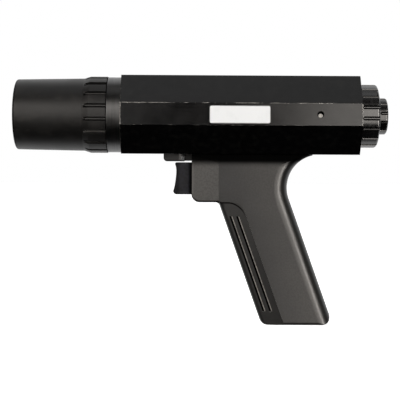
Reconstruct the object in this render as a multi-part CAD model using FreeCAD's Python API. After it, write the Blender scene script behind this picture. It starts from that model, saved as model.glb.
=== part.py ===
import FreeCAD, Part
import os
from math import cos, radians, sin, sqrt, tan

# Xenon stroboscope, pistol pattern. Millimetres. +Z is up, the light leaves towards -X,
# the left side of the object faces -Y, and the end of the grip stands on Z = 0.
# The barrel pieces are drawn about their own axis and lifted to it when they are saved.

os.makedirs("parts", exist_ok=True)
V = FreeCAD.Vector

# ---------------------------------------------------------------- driving sizes

# stations along the barrel, from the muzzle to the rear
sleeve_length = 63.2
sleeve_gap = 0.3            # running gap between the turning sleeve and the collar
collar_width = 9.7
housing_length = 163.7
dial_gap = 0.6
dial_length = 12.3
knob_gap = 0.5
knob_length = 6.4

# housing: an eight-sided extrusion
housing_width = 54.0
housing_height = 54.0
side_flat = 15.0            # height of the upright side faces
top_flat = 28.0             # width of the top and bottom faces
housing_wall = 3.0
edge_break = 0.5            # on the eight long edges
port_radius = 3.5           # screw ports along the inside
port_circle_inset = 5.1     # their circle lies this far inside the collar's edge
port_web = 3.0              # web from each port to the wall
guide_depth = 2.6           # card guides stand in from the side walls
guide_thickness = 1.2
rear_rebate = 4.0           # the bore is machined clear at the rear for the chassis

# focus sleeve and its grip ring
sleeve_front_radius = 24.35
sleeve_rear_radius = 25.15
sleeve_bore_radius = 22.0
sleeve_end_wall = 6.0
sleeve_mouth_round = 1.4
ring_radius = 26.5
ring_width = 16.0
ring_chamfer = 4.2
ring_groove_count = 18
ring_groove_width = 2.6
ring_groove_depth = 1.6
ring_groove_length = 14.9
ring_groove_wall = 0.7      # how far each side wall slopes in
ring_groove_head = 1.4      # how far the head slopes in
ring_groove_phase = -7.8    # degrees above the left side

# front collar with its slotted nose tube
collar_drop = 0.4           # the collar lies this far below the sleeve's grip ring
collar_edge = 0.5
nose_radius = 17.9
nose_length = 36.0
nose_bore_radius = 15.6
nose_front_bore_radius = 14.9
nose_slot_length = 16.5
running_clearance = 0.08
circlip_thickness = 1.0
circlip_depth = 1.0
circlip_radius = 19.6
circlip_opening = 40.0      # degrees
circlip_clearance = 0.1
circlip_fit = 0.05

# cam that moves the lens
cam_lead = 24.0             # lens travel for one full turn of the sleeve
cam_turn = 60.0             # the sleeve turns this far each way, degrees
cam_spare_turn = 6.0
cam_pin_radius = 1.5
cam_pin_clearance = 0.1
cam_pin_count = 3
cam_groove_depth = 1.35
cam_pin_tip_gap = 0.25
cam_pin_inset = 3.5         # from the rear end of the lens cell
cam_pin_height = 5.2        # how far the pins reach in from the sleeve's bore

# lens cell
cell_length = 24.5
cell_front_depth = 12.3     # from the muzzle back to the cell's front
cell_lip = 0.8
cell_clearance = 0.1
lens_radius = 19.4
lens_clearance = 0.1
lens_edge = 2.6
lens_bulge = 4.2
lens_face_inset = 0.2
lens_ring_width = 1.8
lens_aperture_radius = 17.4
gasket_thickness = 0.6
cell_ledge = 1.5
spanner_notch = 2.0

# lamp
holder_boss_length = 5.0
holder_boss_clearance = 0.15
holder_flange_radius = 17.1
holder_flange_thickness = 2.2
holder_ear_reach = 22.0
holder_ear_height = 7.0
holder_screw_reach = 19.0
reflector_neck_length = 2.5
reflector_neck_radius = 8.2
reflector_focus = 3.26
reflector_wall = 0.8
reflector_rim = 1.0
reflector_clearance = 0.1
reflector_points = 9
tube_radius = 2.0
tube_wall = 0.5
tube_leg_offset = 4.5
tube_straight = 12.0
tube_sink = 4.0             # how deep the legs stand in the holder
tube_seal = 1.2             # solid glass at the end of each leg
tube_clearance = 0.1
electrode_radius = 0.5
electrode_inside = 3.0
electrode_tip_radius = 0.9
electrode_tip_length = 1.6
electrode_tail = 3.0
band_count = 3
band_start = 1.0
band_pitch = 3.4
band_width = 1.2
band_thickness = 0.4
band_wire_lift = 0.1        # the joining wires ride this far above the glass

# screws: (thread radius, head radius, head height)
m3 = (1.5, 2.75, 3.0)
m4 = (2.0, 3.5, 2.6)
m3_pan = (1.5, 2.8, 2.2)
m2_5_pan = (1.25, 2.15, 1.3)
thread_fit = 0.05           # threads are plain, this far clear of their holes
screw_clearance = 0.15
press_fit = 0.02
head_sink = 0.3             # a counterbored head sits this far below its face
drive_share = 0.45          # drive recess, as a share of the head radius
tip_room = 0.6              # left beyond a screw's tip in a blind hole
collar_screw_length = 16.0
holder_screw_length = 6.5
side_screw_length = 5.2
saddle_screw_spare = 0.8    # stands out beyond its nut
cut_past = 1.0              # a cut runs this far beyond the face it opens

# circuit board and what it carries
board_drop = 7.8            # top of the board below the barrel axis
board_thickness = 1.6
board_side_slack = 0.8
board_start = 19.0          # from the housing's front
board_length = 104.0
board_slack = 0.1
# places on the board: first from its front edge, then in from its left or right edge
capacitor_spot = (3.0, 9.8)
capacitor_radius = 8.0
capacitor_length = 32.0
capacitor_crimp = 3.0       # from its end
capacitor_crimp_width = 1.4
capacitor_crimp_depth = 0.6
core_spot = (46.0, 3.3)
core_length = 22.0
core_width = 20.0
core_height = 18.0
core_leg = 4.5
core_middle_leg = 6.8
winding_gap = 0.3
winding_bulge = 3.0
trigger_coil_spot = (10.0, 11.3)
trigger_coil_radius = 5.0
trigger_coil_height = 14.0
coil_cap_radius = 3.5
coil_cap_height = 1.2
heat_sink_spot = (78.0, 3.3)
heat_sink_fins = 5
heat_sink_height = 17.0
heat_sink_width = 16.0
heat_sink_base = 2.4
heat_sink_depth = 9.0
fin_thickness = 1.2
transistor_width = 10.0
transistor_foot = 3.0
transistor_tab = 1.3
transistor_tab_height = 15.0
transistor_case = 3.2
transistor_case_height = 9.0
pin_pitch = 2.54
pin_width = 1.0
pin_thickness = 0.6
chip_spot = (22.0, 13.3)
chip_length = 19.0
chip_width = 6.4
chip_foot = 1.0
chip_thickness = 3.4
chip_pins = 7
chip_pin_start = 1.8
chip_pin_width = 0.5
chip_pin_reach = 0.8
chip_pin_height = 2.6
resistor_spot = (46.0, 10.6)
resistor_count = 6
resistor_pitch = 4.2
resistor_radius = 1.2
resistor_length = 6.0
resistor_lead = 0.8
resistor_foot = 0.3
lead_radius = 0.3
film_capacitor_starts = (72.0, 79.0, 86.0)
film_capacitor_side = 15.3
film_capacitor_length = 5.0
film_capacitor_width = 11.0
film_capacitor_height = 9.0
terminal_ways = 5
terminal_pitch = 5.0
terminal_inset = 0.4
terminal_depth = 8.0
terminal_height = 9.5
terminal_screw_radius = 1.7
terminal_screw_depth = 3.5
terminal_mouth = 2.6
terminal_mouth_floor = 1.2
terminal_mouth_height = 3.0

# rear chassis, double potentiometer and knobs
chassis_inset = 0.5
chassis_clearance = 0.15
chassis_plate = 2.5
chassis_arm_length = 35.0
chassis_arm_height = 13.0
chassis_arm_thickness = 1.6
side_screw_setback = 28.4   # from the housing's rear end
side_screw_recess = 2.3
side_screw_pad = 2.2
side_screw_pad_radius = 3.2
pot_radius = 12.0
pot_length = 15.0
pot_waist_width = 1.2
pot_waist_depth = 0.8
tag_thickness = 0.8
tag_width = 1.8
pot_tag_reach = 4.0
pot_tag_pitch = 4.0
pot_tag_rows = (2.4, 11.6)  # from the rear of the body
bushing_radius = 4.5
bushing_length = 6.2        # ahead of the body, through the plate
nut_width = 12.0
nut_height = 2.0
washer_rim = 2.5
washer_thickness = 0.5
outer_shaft_radius = 3.0
inner_shaft_radius = 1.6
shaft_clearance = 0.05
shaft_end_gap = 0.3
hub_gap = 0.4
dial_radius = 21.9
dial_round = 2.0
dial_skirt_wall = 3.0
dial_face_wall = 3.2
dial_hub_radius = 6.5
dial_groove_count = 18
dial_groove_width = 2.4
dial_groove_depth = 1.0
dial_groove_start = 1.7
dial_groove_phase = -6.0
knob_radius = 12.6
knob_round = 1.6
knob_groove_count = 12
knob_groove_width = 2.0
knob_groove_depth = 0.8
knob_groove_start = 1.9
knob_groove_phase = 7.5
knob_face_wall = 1.8
set_screw_radius = 1.0
set_screw_length = 3.2
set_screw_drive = 0.8
set_screw_shift = 0.8

# label plate
label_length = 41.0
label_height = 11.9
label_thickness = 0.4
label_corner = 1.6
label_start = 60.5          # from the housing's front
label_drop = 0.3

# grip
grip_height = 116.3         # from the floor to the housing's underside
grip_half_width = 19.0
grip_wall = 2.6
grip_slant = 19.6           # degrees from upright
grip_setback = 48.5         # from the housing's front to the front of the grip
block_length = 18.6         # the block that houses the trigger
block_height = 32.9
block_front_round = 5.5
strap_round = 3.5
base_round = 5.8
root_length = 56.1          # along the housing, corner to corner
tail_radius = 22.6
tail_thickness = 0.6
edge_round = 2.2
back_round = 9.5            # the rear edge, where the palm lies
crown_round = 8.0           # the sides turn in towards the housing
block_taper = 3.0           # each side narrows towards the front of the block
strap_width = 15.3
strap_step = 1.0
strap_taper = 2.6
strap_corner = 9.0
strap_edge_round = 3.5      # along the front, under the fingers
strap_groove_offsets = (4.6, 9.2)
strap_groove_width = 1.7
strap_groove_depth = 0.9
strap_groove_top = 9.8      # below the block
strap_groove_bottom = 9.6   # above the base
cavity_front_depth = 12.8
cavity_tail_height = 3.0
cavity_step = 4.2           # the hollow steps in behind the rounded rear edge
strap_wall = 3.0            # behind the strap's rear edge

# grip screws: (along the housing from the grip's front, below the housing)
grip_screw_spots = ((18.8, 7.0), (61.8, 7.0), (48.0, 62.0), (60.0, 84.0))
boss_radius = 3.6
grip_screw_recess = 4.0
grip_screw_grip = 9.0       # thread in the left half

# saddle
saddle_nose_length = 14.3
saddle_nose_width = 16.0
saddle_reach = 19.4         # the nose stands this far ahead of the grip
saddle_depth = 5.1
saddle_neck_depth = 4.7
saddle_nose_round = 2.4
saddle_neck_round = 4.0
rail_width = 10.0
rail_depth = 10.6
rail_start = 14.0           # behind the front of the grip
rail_end = 66.0
rail_clearance = 0.1
saddle_screw_spots = (31.0, 50.0)
saddle_nut_width = 7.0
saddle_nut_height = 3.2
loom_hole_radius = 4.0
loom_hole_spot = 40.5

# trigger and its switch
trigger_top_drop = 5.8      # below the housing
trigger_height = 22.1
trigger_half_width = 7.0
trigger_reach = 11.5        # upper edge, ahead of the grip
trigger_lip_reach = 12.7    # lower lip, ahead of the grip
trigger_hollow = 0.6
trigger_top_round = 1.2
trigger_lip_round = 2.4
trigger_clearance = 0.25
trigger_travel = 5.0
trigger_stem = 8.6          # behind the front of the grip
flange_thickness = 2.0
flange_overhang = 2.0
flange_gap = 0.3
spring_radius = 2.8
spring_wire = 0.35
spring_turns = 6
spring_drop = 9.0           # below the top of the trigger
spring_seat = 1.4
spring_seat_rim = 0.8
spring_seat_gap = 1.0       # below the saddle's rail
spring_length = 12.0
spring_post_radius = 1.9
spring_post_length = 3.0
switch_length = 20.0
switch_height = 10.5
switch_half_width = 5.2
switch_drop = 13.0          # top of the switch below the top of the trigger
switch_gap = 6.5            # behind the trigger's stem
plunger_half_width = 1.6
plunger_height = 3.2
plunger_sink = 6.0
plunger_clearance = 0.1
plunger_touch = 0.1
switch_peg_radius = 1.5
switch_peg_length = 2.4
switch_peg_shoulder = 1.5
switch_side_gap = 0.1
switch_tags = 3
switch_tag_reach = 3.5
switch_tag_pitch = 3.2
switch_tag_start = 1.5

# lead socket in the end of the grip
socket_radius = 9.5
socket_flange_radius = 11.5
socket_flange = 1.2
socket_bore_radius = 7.6
socket_depth = 9.0
socket_length = 16.0
socket_seat_radius = 7.0    # the insert sits in this narrower bore
insert_recess = 0.3         # behind the shoulder
socket_along = 0.5          # share of the base length, from its front
socket_nut_height = 3.0
socket_nut_width = 23.0
contact_radius = 1.0
contact_bore_radius = 0.6
contact_circle = 4.4
contact_count = 5
contact_turn = 54.0         # angle of the first contact
contact_tail = 3.0
insert_stand = 1.5          # the insert stands out above the shell
insert_fit = 0.05
socket_fit = 0.1

# wire loom
loom_radius = 1.8
loom_turn_radius = 18.0
loom_rise = 9.5             # straight up from the socket before it leans with the grip
loom_top_run = 5.4          # straight below the saddle's rail

# ---------------------------------------------------------------- places worked out

overall_length = (sleeve_length + sleeve_gap + collar_width + housing_length
                  + dial_gap + dial_length + knob_gap + knob_length)
x_muzzle = -overall_length / 2
x_sleeve_rear = x_muzzle + sleeve_length
x_collar = x_sleeve_rear + sleeve_gap
x_housing = x_collar + collar_width
x_housing_rear = x_housing + housing_length
x_dial = x_housing_rear + dial_gap
x_dial_face = x_dial + dial_length
x_knob = x_dial_face + knob_gap
x_knob_face = x_knob + knob_length

axis_height = grip_height + housing_height / 2
collar_radius = ring_radius - collar_drop
port_reach = collar_radius - port_circle_inset
x_grip = x_housing + grip_setback
slant = radians(grip_slant)


# ---------------------------------------------------------------- helpers

def box(x0, x1, y0, y1, z0, z1):
    return Part.makeBox(x1 - x0, y1 - y0, z1 - z0, V(x0, y0, z0))


def rod_x(x0, x1, radius, y=0.0, z=0.0):
    return Part.makeCylinder(radius, x1 - x0, V(x0, y, z), V(1, 0, 0))


def rod_y(y0, y1, radius, x, z):
    return Part.makeCylinder(radius, y1 - y0, V(x, y0, z), V(0, 1, 0))


def rod_z(z0, z1, radius, x, y=0.0):
    return Part.makeCylinder(radius, z1 - z0, V(x, y, z0), V(0, 0, 1))


def hex_prism(start, direction, width, height):
    corners = [V(width / sqrt(3) * cos(radians(60 * i)), width / sqrt(3) * sin(radians(60 * i)), 0)
               for i in range(6)]
    prism = Part.Face(Part.makePolygon(corners + corners[:1])).extrude(V(0, 0, height))
    prism.Placement = FreeCAD.Placement(start, FreeCAD.Rotation(V(0, 0, 1), direction))
    return prism


def turned(profile):
    """A solid of revolution about the barrel axis from (x, radius) points."""
    points = [V(x, 0, r) for x, r in profile]
    face = Part.Face(Part.makePolygon(points + points[:1]))
    return face.revolve(V(0, 0, 0), V(1, 0, 0), 360)


def about_axis(shape, degrees_up):
    """Turn a piece drawn on the left side (-Y) up around the barrel axis."""
    copy = shape.copy()
    copy.rotate(V(0, 0, 0), V(1, 0, 0), -degrees_up)
    return copy


def round_rims(shape, rims, size):
    """Round the circular edges given as (x, radius)."""
    chosen = []
    for edge in shape.Edges:
        curve = edge.Curve
        if not isinstance(curve, Part.Circle):
            continue
        for x, radius in rims:
            if abs(curve.Center.x - x) < 1e-4 and abs(curve.Radius - radius) < 1e-4:
                chosen.append(edge)
    return shape.makeFillet(size, chosen)


def rounded_wire(corners):
    """A closed wire in the XZ plane from (x, z, corner radius) points."""
    count = len(corners)
    starts = []
    ends = []
    middles = []
    for i in range(count):
        here = V(corners[i][0], 0, corners[i][1])
        before = V(corners[i - 1][0], 0, corners[i - 1][1])
        after = V(corners[(i + 1) % count][0], 0, corners[(i + 1) % count][1])
        radius = corners[i][2]
        to_before = (before - here).normalize()
        to_after = (after - here).normalize()
        half_angle = to_before.getAngle(to_after) / 2
        if radius > 0:
            setback = radius / tan(half_angle)
            inward = (to_before + to_after).normalize()
            centre = here + inward * (radius / sin(half_angle))
            starts.append(here + to_before * setback)
            ends.append(here + to_after * setback)
            middles.append(centre - inward * radius)
        else:
            starts.append(here)
            ends.append(here)
            middles.append(None)
    edges = []
    for i in range(count):
        if middles[i] is not None:
            edges.append(Part.Arc(starts[i], middles[i], ends[i]).toShape())
        following = starts[(i + 1) % count]
        if ends[i].distanceToPoint(following) > 1e-6:
            edges.append(Part.LineSegment(ends[i], following).toShape())
    return Part.Wire(edges)


def prism_y(corners, y0, y1):
    """Extrude an XZ outline from y0 to y1."""
    face = Part.Face(rounded_wire(corners))
    face.translate(V(0, y0, 0))
    return face.extrude(V(0, y1 - y0, 0))


def sloped_groove(x0, x1, reach, depth, width, wall_run, head_run):
    """Cutter for one lengthways groove with sloping walls and head, on the left side."""
    def outline(share, y):
        half = width / 2 - wall_run * share
        x = x0 + head_run * share
        return Part.makePolygon([V(x, y, -half), V(x1, y, -half), V(x1, y, half), V(x, y, half),
                                 V(x, y, -half)])
    return Part.makeLoft([outline(-cut_past / depth, -reach - cut_past), outline(1, depth - reach)],
                         True, True)


def round_groove(x0, x1, reach, depth, width):
    """Cutter for one lengthways groove with a round bottom and a ball end, on the left side."""
    radius = (width ** 2 / 4 + depth ** 2) / (2 * depth)
    y = depth - reach - radius
    return rod_x(x0, x1, radius, y).fuse(Part.makeSphere(radius, V(x0, y, 0)))


def screw(start, direction, size, length):
    """A screw whose head sits on start, with its thread running along direction."""
    thread, head_radius, head_height = size
    way = V(direction).normalize()
    head = Part.makeCylinder(head_radius, head_height, start - way * head_height, way)
    shank = Part.makeCylinder(thread, length, start, way)
    drive = hex_prism(start - way * head_height, way, 2 * head_radius * drive_share, head_height / 2)
    return head.fuse(shank).cut(drive)


def whole(shape):
    """The single solid inside a boolean's result."""
    solids = shape.removeSplitter().Solids
    return solids[0] if len(solids) == 1 else Part.makeCompound(solids)


def save(name, shape):
    shape.exportStep("parts/" + name + ".step")


def save_on_axis(name, shape):
    lifted = shape.copy()
    lifted.translate(V(0, 0, axis_height))
    save(name, lifted)


# ---------------------------------------------------------------- housing

def octagon(inset):
    """Corners (y, z) of the housing's section, moved in by inset."""
    half_w = housing_width / 2
    half_h = housing_height / 2
    rise = half_h - side_flat / 2
    run = half_w - top_flat / 2
    slope = sqrt(rise ** 2 + run ** 2)
    reach = (half_w * rise + side_flat / 2 * run) / slope - inset
    y_side = half_w - inset
    z_side = (reach * slope - y_side * rise) / run
    z_top = half_h - inset
    y_top = (reach * slope - z_top * run) / rise
    return [(y_side, -z_side), (y_side, z_side), (y_top, z_top), (-y_top, z_top),
            (-y_side, z_side), (-y_side, -z_side), (-y_top, -z_top), (y_top, -z_top)]


def inner_wall_y(z):
    """Half the clear width inside the housing at height z."""
    corners = octagon(housing_wall)
    y_side, z_side = corners[1]
    y_top, z_top = corners[2]
    if abs(z) <= z_side:
        return y_side
    return y_side - (y_side - y_top) * (abs(z) - z_side) / (z_top - z_side)


def octagon_prism(inset, x0, x1):
    corners = [V(x0, y, z) for y, z in octagon(inset)]
    return Part.Face(Part.makePolygon(corners + corners[:1])).extrude(V(x1 - x0, 0, 0))


def port_places():
    offset = port_reach * sin(radians(45))
    return [(y * offset, z * offset) for y in (-1, 1) for z in (-1, 1)]


saddle_screw_x = [x_grip + spot for spot in saddle_screw_spots]
x_side_screw = x_housing_rear - side_screw_setback
x_loom_hole = x_grip + loom_hole_spot


def make_housing():
    outer = octagon_prism(0, x_housing, x_housing_rear)
    long_edges = [edge for edge in outer.Edges
                  if abs(edge.Vertexes[0].Point.x - edge.Vertexes[-1].Point.x) > housing_length / 2]
    outer = outer.makeFillet(edge_break, long_edges)
    inner = octagon_prism(housing_wall, x_housing, x_housing_rear)
    shell = outer.cut(inner)
    ribs = []
    for y, z in port_places():
        ribs.append(rod_x(x_housing, x_housing_rear, port_radius, y, z))
    web = box(x_housing, x_housing_rear, -housing_width, -port_reach, -port_web / 2, port_web / 2)
    for quarter in range(4):
        ribs.append(about_axis(web, 45 + 90 * quarter))
    slot_top = -board_drop + board_slack
    slot_bottom = -board_drop - board_thickness - board_slack
    y_wall = inner_wall_y(slot_bottom)
    for side in (-1, 1):
        near = side * (y_wall - guide_depth)
        far = side * (housing_width / 2)
        low, high = min(near, far), max(near, far)
        ribs.append(box(x_housing, x_housing_rear, low, high, slot_top, slot_top + guide_thickness))
        ribs.append(box(x_housing, x_housing_rear, low, high,
                        slot_bottom - guide_thickness, slot_bottom))
    body = shell.fuse(ribs).common(outer)
    for y, z in port_places():
        body = body.cut(rod_x(x_housing, x_housing_rear, m3[0] + thread_fit, y, z))
    rebate = octagon_prism(housing_wall, x_housing_rear - rear_rebate, x_housing_rear)
    body = body.cut(rebate)
    thread, head_radius, head_height = m2_5_pan
    for side in (-1, 1):
        face = side * housing_width / 2
        seat = side * (housing_width / 2 - side_screw_recess)
        inside = side * (housing_width / 2 - housing_wall)
        sink = rod_y(min(face, seat), max(face, seat), head_radius + screw_clearance, x_side_screw, 0)
        hole = rod_y(min(face, inside), max(face, inside), thread + screw_clearance, x_side_screw, 0)
        body = body.cut(sink).cut(hole)
    floor = -housing_height / 2
    for x in saddle_screw_x:
        body = body.cut(rod_z(floor, floor + housing_wall, m4[0] + screw_clearance, x))
    body = body.cut(rod_z(floor, floor + housing_wall, loom_hole_radius, x_loom_hole))
    return whole(body)


# ---------------------------------------------------------------- focus sleeve and collar

x_cell = x_muzzle + cell_front_depth
x_cell_rear = x_cell + cell_length
x_pins = x_cell_rear - cam_pin_inset
pin_angles = [90 + 360 / cam_pin_count * i for i in range(cam_pin_count)]


def cam_groove(angle):
    """One helical groove in the sleeve's bore, centred on its pin at rest."""
    turn = 2 * (cam_turn + cam_spare_turn)
    rise = cam_lead * turn / 360
    half_width = cam_pin_radius + cam_pin_clearance
    inner = sleeve_bore_radius - cut_past
    outer = sleeve_bore_radius + cam_groove_depth
    path = Part.Wire(Part.makeHelix(cam_lead, rise, sleeve_bore_radius))
    corners = [V(inner, 0, -half_width), V(outer, 0, -half_width),
               V(outer, 0, half_width), V(inner, 0, half_width)]
    section = Part.makePolygon(corners + corners[:1])
    groove = path.makePipeShell([section], True, True)
    groove.translate(V(0, 0, -rise / 2))
    groove.rotate(V(0, 0, 0), V(0, 0, 1), -turn / 2)
    # from its own Z axis to the barrel axis: its start direction (+X) goes to -Z
    groove.rotate(V(0, 0, 0), V(0, 1, 0), 90)
    groove.translate(V(x_pins, 0, 0))
    groove.rotate(V(0, 0, 0), V(1, 0, 0), 270 - angle)
    return groove


def make_focus_sleeve():
    x_ring = x_sleeve_rear - ring_width
    x_wall = x_sleeve_rear - sleeve_end_wall
    hub = nose_radius + running_clearance
    body = turned([
        (x_muzzle, sleeve_bore_radius), (x_muzzle, sleeve_front_radius), (x_ring, sleeve_rear_radius),
        (x_ring + ring_chamfer, ring_radius), (x_sleeve_rear, ring_radius), (x_sleeve_rear, hub),
        (x_wall, hub), (x_wall, sleeve_bore_radius)])
    body = round_rims(body, [(x_muzzle, sleeve_front_radius)], sleeve_mouth_round)
    groove = sloped_groove(x_sleeve_rear - ring_groove_length, x_sleeve_rear + cut_past, ring_radius,
                           ring_groove_depth, ring_groove_width, ring_groove_wall, ring_groove_head)
    grooves = [about_axis(groove, ring_groove_phase + 360 / ring_groove_count * i)
               for i in range(ring_groove_count)]
    body = body.cut(grooves)
    for angle in pin_angles:
        body = body.cut(cam_groove(angle))
    return whole(body)


x_circlip_rear = x_sleeve_rear - sleeve_end_wall - circlip_clearance
x_circlip = x_circlip_rear - circlip_thickness
x_nose = x_collar - nose_length
x_holder_boss = x_housing - holder_boss_length
reflector_bowl_start = reflector_neck_radius ** 2 / (4 * reflector_focus)
reflector_mouth = nose_front_bore_radius
reflector_bowl_end = reflector_mouth ** 2 / (4 * reflector_focus)
x_bowl_start = x_holder_boss - reflector_neck_length
x_rim = x_bowl_start - (reflector_bowl_end - reflector_bowl_start)
x_shoulder = x_rim - reflector_rim


def make_front_collar():
    body = turned([
        (x_nose, nose_front_bore_radius), (x_nose, nose_radius),
        (x_circlip - circlip_clearance, nose_radius),
        (x_circlip - circlip_clearance, nose_radius - circlip_depth),
        (x_circlip_rear, nose_radius - circlip_depth), (x_circlip_rear, nose_radius),
        (x_collar, nose_radius), (x_collar, collar_radius), (x_housing, collar_radius),
        (x_housing, nose_bore_radius), (x_shoulder, nose_bore_radius),
        (x_shoulder, nose_front_bore_radius)])
    body = round_rims(body, [(x_collar, collar_radius), (x_housing, collar_radius)], collar_edge)
    slot_half = cam_pin_radius + cam_pin_clearance
    slot = box(x_nose, x_nose + nose_slot_length, -nose_radius - cut_past, -nose_front_bore_radius / 2,
               -slot_half, slot_half)
    for angle in pin_angles:
        body = body.cut(about_axis(slot, angle))
    thread, head_radius, head_height = m3
    for y, z in port_places():
        body = body.cut(rod_x(x_collar, x_housing, thread + screw_clearance, y, z))
        body = body.cut(rod_x(x_collar, x_collar + head_height + head_sink,
                              head_radius + screw_clearance, y, z))
    deep = holder_screw_length - holder_flange_thickness + tip_room
    for side in (-1, 1):
        body = body.cut(rod_x(x_housing - deep, x_housing, m2_5_pan[0] + thread_fit,
                              side * holder_screw_reach, 0))
    return whole(body)


def make_collar_screws():
    seat = x_collar + m3[2] + head_sink
    return Part.makeCompound([screw(V(seat, y, z), V(1, 0, 0), m3, collar_screw_length)
                              for y, z in port_places()])


def make_circlip():
    ring = rod_x(x_circlip, x_circlip_rear, circlip_radius)
    ring = ring.cut(rod_x(x_circlip, x_circlip_rear, nose_radius - circlip_depth + circlip_fit))
    mouth = 2 * circlip_radius * tan(radians(circlip_opening / 2))
    gap = box(x_circlip, x_circlip_rear, -mouth / 2, mouth / 2, -circlip_radius - cut_past, 0)
    return whole(ring.cut(gap))


# ---------------------------------------------------------------- lens and its cell

cell_bore_radius = lens_radius + lens_clearance
x_ledge = x_cell + cell_lip + lens_ring_width + lens_edge + gasket_thickness


def make_lens_cell():
    outer = sleeve_bore_radius - cell_clearance
    body = turned([
        (x_cell, cell_bore_radius), (x_cell, outer), (x_cell_rear, outer),
        (x_cell_rear, cell_bore_radius), (x_ledge + cell_ledge, cell_bore_radius),
        (x_ledge + cell_ledge, lens_aperture_radius), (x_ledge, lens_aperture_radius),
        (x_ledge, cell_bore_radius)])
    for angle in pin_angles:
        hole = rod_y(-sleeve_bore_radius, -nose_radius, cam_pin_radius + press_fit, x_pins, 0)
        body = body.cut(about_axis(hole, angle))
    return whole(body)


def make_cam_pins():
    tip = sleeve_bore_radius + cam_groove_depth - cam_pin_tip_gap
    foot = sleeve_bore_radius - cam_pin_height
    pin = rod_y(-tip, -foot, cam_pin_radius, x_pins, 0)
    return Part.makeCompound([about_axis(pin, angle) for angle in pin_angles])


def make_lens():
    x_back = x_ledge - gasket_thickness
    x_edge = x_back - lens_edge
    reach = lens_aperture_radius - lens_face_inset
    ball_radius = (reach ** 2 + lens_bulge ** 2) / (2 * lens_bulge)
    ball = Part.makeSphere(ball_radius, V(x_edge - lens_bulge + ball_radius, 0, 0))
    cap = ball.common(rod_x(x_edge - lens_bulge - cut_past, x_edge + lens_edge / 2, reach))
    return whole(rod_x(x_edge, x_back, lens_radius).fuse(cap))


def make_lens_gasket():
    ring = rod_x(x_ledge - gasket_thickness, x_ledge, lens_radius)
    return whole(ring.cut(rod_x(x_ledge - gasket_thickness, x_ledge, lens_aperture_radius)))


def make_lens_ring():
    x_front = x_cell + cell_lip
    ring = rod_x(x_front, x_front + lens_ring_width, cell_bore_radius - thread_fit)
    ring = ring.cut(rod_x(x_front, x_front + lens_ring_width, lens_aperture_radius))
    notch = box(x_front, x_front + lens_ring_width / 2, -cell_bore_radius, cell_bore_radius,
                -spanner_notch / 2, spanner_notch / 2)
    return whole(ring.cut(notch))


# ---------------------------------------------------------------- lamp

def make_reflector():
    inner = []
    outer = []
    for i in range(reflector_points):
        share = i / (reflector_points - 1)
        depth = reflector_bowl_start + (reflector_bowl_end - reflector_bowl_start) * share
        radius = 2 * sqrt(reflector_focus * depth)
        x = x_bowl_start - (depth - reflector_bowl_start)
        inner.append(V(x, 0, radius - reflector_wall))
        outer.append(V(x, 0, radius))
    inside = Part.BSplineCurve()
    inside.interpolate(inner)
    outside = Part.BSplineCurve()
    outside.interpolate(outer)
    bowl = Part.Wire([inside.toShape(),
                      Part.LineSegment(inner[-1], outer[-1]).toShape(),
                      outside.toShape(),
                      Part.LineSegment(outer[0], inner[0]).toShape()])
    shell = Part.Face(bowl).revolve(V(0, 0, 0), V(1, 0, 0), 360)
    neck = rod_x(x_bowl_start, x_holder_boss, reflector_neck_radius)
    neck = neck.cut(rod_x(x_bowl_start, x_holder_boss, reflector_neck_radius - reflector_wall))
    rim = rod_x(x_shoulder, x_rim, nose_bore_radius - reflector_clearance)
    rim = rim.cut(rod_x(x_shoulder, x_rim, reflector_mouth - reflector_wall))
    return whole(shell.fuse([neck, rim]))


def u_tube(radius, x_leg_end):
    """The flash tube's U with the given section radius."""
    x_bend = x_holder_boss - tube_straight
    legs = [rod_x(x_bend, x_leg_end, radius, side * tube_leg_offset) for side in (-1, 1)]
    section = Part.Wire(Part.makeCircle(radius, V(x_bend, tube_leg_offset, 0), V(1, 0, 0)))
    bend = Part.Face(section).revolve(V(x_bend, 0, 0), V(0, 0, 1), 180)
    return legs[0].fuse([legs[1], bend])


def make_flash_tube():
    x_leg_end = x_holder_boss + tube_sink
    glass = u_tube(tube_radius, x_leg_end)
    glass = glass.cut(u_tube(tube_radius - tube_wall, x_leg_end - tube_seal))
    for side in (-1, 1):
        glass = glass.cut(rod_x(x_leg_end - tube_seal - cut_past, x_leg_end,
                                electrode_radius + press_fit, side * tube_leg_offset))
    return whole(glass)


def make_electrodes():
    x_leg_end = x_holder_boss + tube_sink
    x_tip = x_leg_end - electrode_inside
    x_tail = x_housing + holder_flange_thickness + electrode_tail
    rods = []
    for side in (-1, 1):
        rod = rod_x(x_tip, x_tail, electrode_radius, side * tube_leg_offset)
        tip = rod_x(x_tip - electrode_tip_length, x_tip, electrode_tip_radius, side * tube_leg_offset)
        rods.append(whole(rod.fuse(tip)))
    return Part.makeCompound(rods)


def make_trigger_electrode():
    """Bands around each leg, joined by a straight wire along the outside."""
    x_first = x_holder_boss - tube_straight + band_start
    pieces = []
    outer = tube_radius + band_thickness
    low = tube_radius + band_wire_lift
    high = outer + band_wire_lift
    for side in (-1, 1):
        for i in range(band_count):
            x = x_first + band_pitch * i
            band = rod_x(x, x + band_width, outer, side * tube_leg_offset)
            pieces.append(band.cut(rod_x(x, x + band_width, tube_radius, side * tube_leg_offset)))
        ends = sorted((side * (tube_leg_offset + low), side * (tube_leg_offset + high)))
        pieces.append(box(x_first, x_holder_boss, ends[0], ends[1],
                          -band_thickness / 2, band_thickness / 2))
    pieces.append(box(x_first, x_first + band_width, -tube_leg_offset, tube_leg_offset, low, high))
    return whole(pieces[0].fuse(pieces[1:]))


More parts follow.
